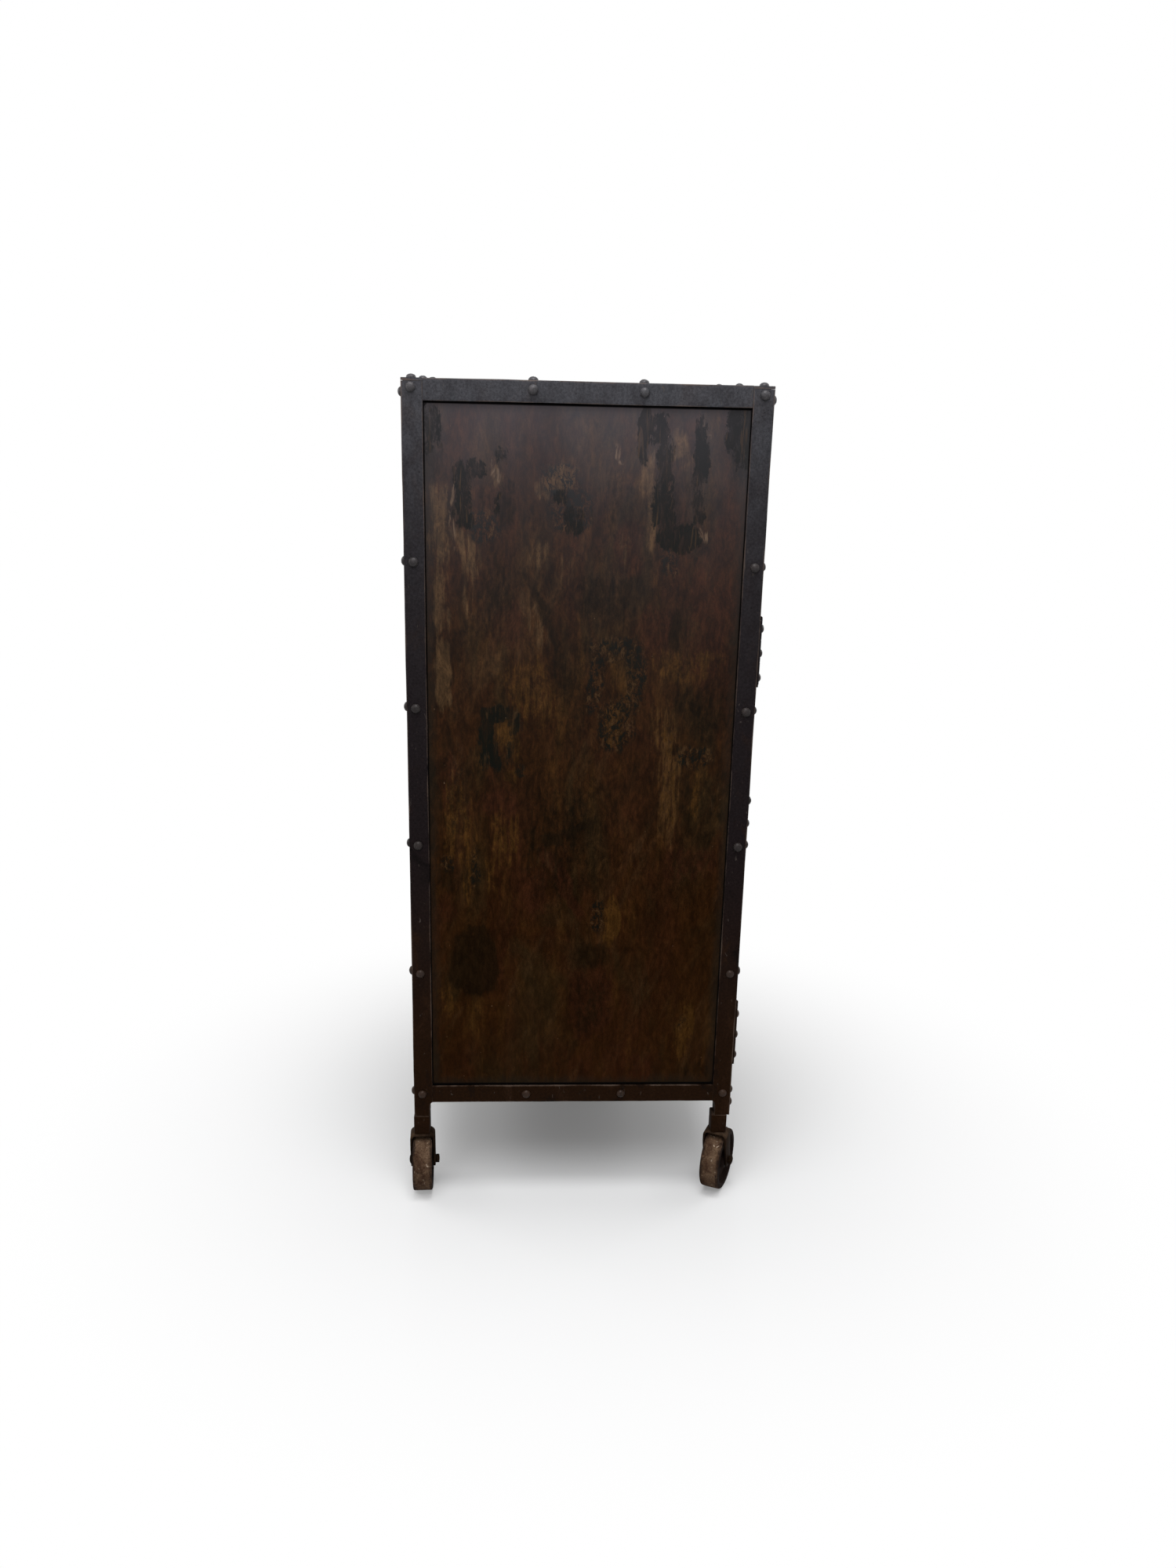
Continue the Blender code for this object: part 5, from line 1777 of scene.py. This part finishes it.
@dataclass(frozen=True)
class Casters:
    """Swivel casters: a bent-strap fork, a round-headed bolt with its nut, and a worn cast wheel."""

    finishes: Finishes
    wheel_radius: float = 0.051
    wheel_width: float = 0.032
    rim_wall: float = 0.010
    web: float = 0.016
    hub: float = 0.015
    trail: float = 0.010
    arm: float = 0.0035
    arm_inner: float = 0.0168
    boss: float = 0.012
    crown_bottom: float = 0.107
    crown_top: float = 0.1115
    crown_reach: float = 0.013
    crown_bend: float = 0.005
    shoulder: float = 0.0095
    stem: float = 0.006
    stem_length: float = 0.050
    axle: float = 0.004
    head: float = 0.0075
    head_rise: float = 0.0025
    nut: float = 0.0072
    nut_height: float = 0.006
    fit: float = 0.0003
    soft: float = 0.0009
    wave: float = 0.0003
    wheel_sides: int = 72
    turned_sides: int = 24

    def edge_places(self, z: float) -> tuple[float, float]:
        """The strap's front and back edges at a height.

        Args:
            z: the height.

        Returns:
            The two places along the trail.
        """
        centre = self.wheel_radius
        if z < centre:
            half = math.sqrt(max(self.boss ** 2 - (centre - z) ** 2, 1e-7))
            return self.trail - half, self.trail + half
        top = self.crown_bottom - self.shoulder
        part = min((z - centre) / (top - centre), 1.0)
        ahead = (self.trail - self.boss) * (1 - part) + (-self.crown_reach - self.arm) * part
        behind = (self.trail + self.boss) * (1 - part) + self.crown_reach * part
        return max(ahead, -self.crown_reach), behind

    def fork(self, name: str, place: Matrix) -> None:
        """Build the fork.

        Args:
            name: end and side.
            place: the caster's place.
        """
        outer, inner = self.arm_inner + self.arm, self.arm_inner
        arm = [self.wheel_radius - self.boss * math.cos(math.radians(d)) for d in (14, 30, 45, 60, 75, 90)]
        arm += stations(self.wheel_radius, self.crown_top - self.shoulder - 0.002, 0.006)[1:]
        line = [((-outer, z), (-inner, z)) for z in arm]
        for a in quarter(5):
            over, up = 1 - math.cos(a), 1 - math.sin(a)
            line.append(((-outer + self.shoulder * over, self.crown_top - self.shoulder * up),
                         (-inner + self.crown_bend * over, self.crown_bottom - self.crown_bend * up)))
        line.append(((0.0, self.crown_top), (0.0, self.crown_bottom)))
        line += [((-a[0], a[1]), (-b[0], b[1])) for a, b in reversed(line[:-1])]
        rings = []
        for (y0, z0), (y1, z1) in line:
            front, back = self.edge_places(min(z0, z1) if z0 < self.crown_bottom else self.crown_top)
            rings.append([Vector((front, y0, z0)), Vector((back, y0, z0)), Vector((back, y1, z1)),
                          Vector((front, y1, z1))])
        bm = bmesh.new()
        loft(bm, rings, (1.0, 1.0, 1.0, 1.0))
        edge = bm.verts.layers.float["edge"]
        for vert in bm.verts:
            vert[edge] = 0.35 + 0.65 * fade(vert.co.z, self.crown_bottom - self.shoulder, self.crown_bottom)
        bmesh.ops.recalc_face_normals(bm, faces=bm.faces)
        bevel(bm, [line for line in bm.edges if line.calc_face_angle() > math.radians(50)], self.soft)
        foot, tip = self.crown_top - 0.002, self.crown_top + self.stem_length
        stem = [(0, foot), (self.stem, foot), (self.stem, tip - 0.001), (self.stem - 0.001, tip), (0, tip)]
        lathe(bm, stem, self.turned_sides, Matrix.Identity(4))
        bmesh.ops.transform(bm, matrix=place, verts=bm.verts)
        hammer(bm, self.wave, 41.0)
        publish(bm, self.finishes.forged, f"caster_{name}", f"caster_fork_{name}", f"forged_fork_{name}",
                smooth=45.0)

    def bolt(self, name: str, side: Side, place: Matrix) -> None:
        """Build the axle bolt, its nut towards the cabinet's front.

        Args:
            name: end and side.
            side: left or right.
            place: the caster's place.
        """
        bm = bmesh.new()
        start = self.arm_inner + self.arm + self.fit
        tip = start + self.nut_height
        made = [bm.verts.new((self.nut * math.cos(math.pi / 3 * i), self.nut * math.sin(math.pi / 3 * i), h))
                for h in (start, tip) for i in range(6)]
        bm.faces.new(made[:6])
        bm.faces.new(made[6:])
        for i in range(6):
            j = (i + 1) % 6
            bm.faces.new((made[i], made[j], made[6 + j], made[6 + i]))
        bmesh.ops.recalc_face_normals(bm, faces=bm.faces)
        bevel(bm, list(bm.edges), self.soft)
        shank = [(radius, -start - height) for radius, height in reversed(dome(self.head, self.head_rise))]
        shank += [(self.axle, -start), (self.axle, tip - 0.0008), (self.axle - 0.001, tip + 0.0004),
                  (0, tip + 0.0004)]
        lathe(bm, shank, self.turned_sides, Matrix.Identity(4))
        turn = Matrix.Rotation(-math.pi / 2 * side.value, 4, "X")
        turn = place @ Matrix.Translation((self.trail, 0, self.wheel_radius)) @ turn
        bmesh.ops.transform(bm, matrix=turn, verts=bm.verts)
        publish(bm, self.finishes.forged, f"caster_{name}", f"caster_axle_{name}", f"forged_axle_{name}")

    def wheel(self, name: str, place: Matrix, seed: float) -> None:
        """Build the wheel, worn round its tread.

        Args:
            name: end and side.
            place: the caster's place.
            seed: tells one wheel's wear from another's.
        """
        half, web, edge = self.wheel_width / 2, self.web / 2, self.wheel_radius
        rim = edge - self.rim_wall
        bore = self.axle + self.fit
        hub = self.hub
        upper = [(bore, half), (hub - 0.001, half), (hub, half - 0.001), (hub + 0.001, web + 0.002),
                 (hub + 0.003, web), (rim - 0.003, web), (rim - 0.001, web + 0.002), (rim, half - 0.001),
                 (rim + 0.001, half), (edge - 0.0025, half), (edge - 0.0008, half - 0.0008),
                 (edge, half - 0.0028), (edge, half * 0.4)]
        profile = upper + [(edge, 0.0)] + [(r, -h) for r, h in reversed(upper)]
        bm = bmesh.new()
        lathe(bm, profile, self.wheel_sides, Matrix.Identity(4), closed=True)
        tread = bm.verts.layers.float.new("tread")
        for vert in bm.verts:
            radius = vert.co.xy.length
            vert[tread] = 0.0
            if radius > edge - 0.001:
                vert[tread] = 0.45 if abs(vert.co.z) > half - 0.004 else 1.0
            worn = noise.noise(vert.co / 0.010 + Vector((seed, 0, 0))) * 0.5 + 0.5
            if radius > edge - 0.003:
                bite = 0.0008 if abs(vert.co.z) > half - 0.003 else 0.0004
                vert.co.xy *= 1 - bite * worn / radius
        centre = place @ Matrix.Translation((self.trail, 0, self.wheel_radius))
        bmesh.ops.transform(bm, matrix=centre @ Matrix.Rotation(math.pi / 2, 4, "X"), verts=bm.verts)
        publish(bm, self.finishes.wheel, f"wheel_{name}", f"caster_wheel_{name}", f"cast_wheel_{name}")

    def build(self) -> None:
        """Build the four casters where the CAD casters rest."""
        for end in End:
            for side in Side:
                name = f"{end.word}_{side.word}"
                pivot = joint_place(f"{name}_swivel")
                ahead = joint_place(f"{name}_wheel_spin") - pivot
                turn = Matrix.Rotation(math.atan2(ahead.y, ahead.x), 4, "Z")
                place = Matrix.Translation((pivot.x, pivot.y, 0)) @ turn
                self.fork(name, place)
                self.bolt(name, side, place)
                self.wheel(name, place, 3.0 * side.value + end.value)


@dataclass(frozen=True)
class Studio:
    """Camera, lamps, floor and white surroundings."""

    camera_place: Colour = (-2.2899, 0.10387, 1.2854)
    camera_turn: Colour = (72.872, -1.33, -92.734)
    lens: float = 29.157
    sensor: float = 36.0
    fill: float = 0.42
    key_power: float = 64.0
    key_size: float = 2.4
    key_place: Colour = (-1.7, 0.3, 3.2)
    key_aim: Colour = (-0.3, 0.0, 0.8)
    glint_power: float = 22.0
    glint_size: float = 0.7
    glint_place: Colour = (-0.9, 0.0, 3.0)
    key_tint: Colour = (0.97, 0.98, 1.0)
    side_power: float = 18.0
    side_size: float = 1.4
    side_places: tuple[tuple[str, Colour], ...] = (
        ("front", (0.5, -2.2, 1.6)), ("back", (0.5, 2.2, 1.6)), ("right", (2.3, 0.0, 1.6)))
    paper: Colour = (0.70, 0.70, 0.70)
    shadow_middle: Colour = (0.24, 0.02, 0.0)
    shadow_stretch: Colour = (1.0, 0.87, 0.0)
    shadow_start: float = 0.05
    shadow_end: float = 0.92
    shadow_white: float = 0.06
    floor_reach: float = 30.0
    floor_drop: float = 0.0005

    def lamp(self, name: str, place: Colour, aim: Colour, power: float, size: float, tint: Colour) -> None:
        """Add a square soft lamp.

        Args:
            name: the lamp's name.
            place: where it is.
            aim: what it points at.
            power: watts.
            size: its side.
            tint: its colour.
        """
        data = bpy.data.lights.new(name, "AREA")
        data.energy = power
        data.size = size
        data.color = tint
        lamp = bpy.data.objects.new(name, data)
        lamp.location = place
        lamp.rotation_euler = (Vector(aim) - Vector(place)).to_track_quat("-Z", "Y").to_euler()
        bpy.context.scene.collection.objects.link(lamp)

    def camera(self) -> None:
        """Add the camera at the photograph's viewing angle."""
        data = bpy.data.cameras.new("camera")
        data.sensor_fit = "VERTICAL"
        data.sensor_height = self.sensor
        data.lens = self.lens
        camera = bpy.data.objects.new("camera", data)
        camera.location = self.camera_place
        camera.rotation_euler = [math.radians(a) for a in self.camera_turn]
        bpy.context.scene.collection.objects.link(camera)
        bpy.context.scene.camera = camera

    def surroundings(self) -> None:
        """Make the world white where it is seen, and a soft fill elsewhere."""
        world = bpy.data.worlds.new("studio")
        bpy.context.scene.world = world
        world.use_nodes = True
        nodes = Nodes(world.node_tree)
        level = nodes.add("ShaderNodeMapRange", {"Value": nodes.seen(), "To Min": self.fill, "To Max": 1.0})
        light = nodes.add("ShaderNodeBackground", {"Color": WHITE, "Strength": level.outputs[0]})
        nodes.add("ShaderNodeOutputWorld", {"Surface": light.outputs[0]})

    def floor(self) -> None:
        """Lay a pale floor that takes the shadow near the cabinet and is white farther off."""
        bm = bmesh.new()
        bmesh.ops.create_grid(bm, x_segments=1, y_segments=1, size=self.floor_reach)
        mesh = bpy.data.meshes.new("floor")
        bm.to_mesh(mesh)
        bm.free()
        floor = bpy.data.objects.new("floor", mesh)
        floor.location = DOWN * self.floor_drop
        bpy.context.scene.collection.objects.link(floor)
        sheet = NodeSheet("floor")
        oval = sheet.add("ShaderNodeMapping", {"Vector": sheet.place, "Location": self.shadow_middle,
                                               "Scale": self.shadow_stretch})
        away = sheet.add("ShaderNodeVectorMath", {0: oval.outputs[0]}, operation="LENGTH")
        far = sheet.step(away.outputs["Value"], self.shadow_start, self.shadow_end, self.shadow_white)
        paper = sheet.add("ShaderNodeBsdfDiffuse", {"Color": self.paper})
        white = sheet.add("ShaderNodeEmission")
        mixed = sheet.add("ShaderNodeMixShader", {0: sheet.times(far, sheet.seen()), 1: paper.outputs[0],
                                                  2: white.outputs[0]})
        mesh.materials.append(sheet.close(mixed.outputs[0]))

    def build(self) -> None:
        """Set up the whole studio."""
        bpy.context.scene.view_settings.view_transform = "Standard"
        self.camera()
        self.surroundings()
        self.floor()
        self.lamp("key", self.key_place, self.key_aim, self.key_power, self.key_size, self.key_tint)
        self.lamp("glint", self.glint_place, self.key_aim, self.glint_power, self.glint_size, WHITE)
        for name, place in self.side_places:
            aim = (0.2, place[1] * 0.1, 0.7)
            self.lamp(name, place, aim, self.side_power, self.side_size, WHITE)


def main() -> None:
    """Build every sub-assembly in order from the sizes read off the CAD."""
    logging.basicConfig(level=logging.INFO, format="%(name)s %(message)s")
    noise.seed_set(NOISE_SEED)
    sizes = CabinetSizes.read()
    finishes = Finishes.make()
    border = FrontBorder(sizes, finishes)
    handle = LoopHandle(finishes, RodTree())
    FrameIron(sizes, finishes).build()
    Rivets(sizes, finishes, RivetTree()).all()
    Skins(finishes).build()
    Interior(finishes).build()
    Hinges(finishes).build()
    Doors(finishes, border, handle).build()
    Drawer(finishes, border, handle).build()
    Casters(finishes).build()
    Studio().build()


if __name__ == "__main__":
    main()
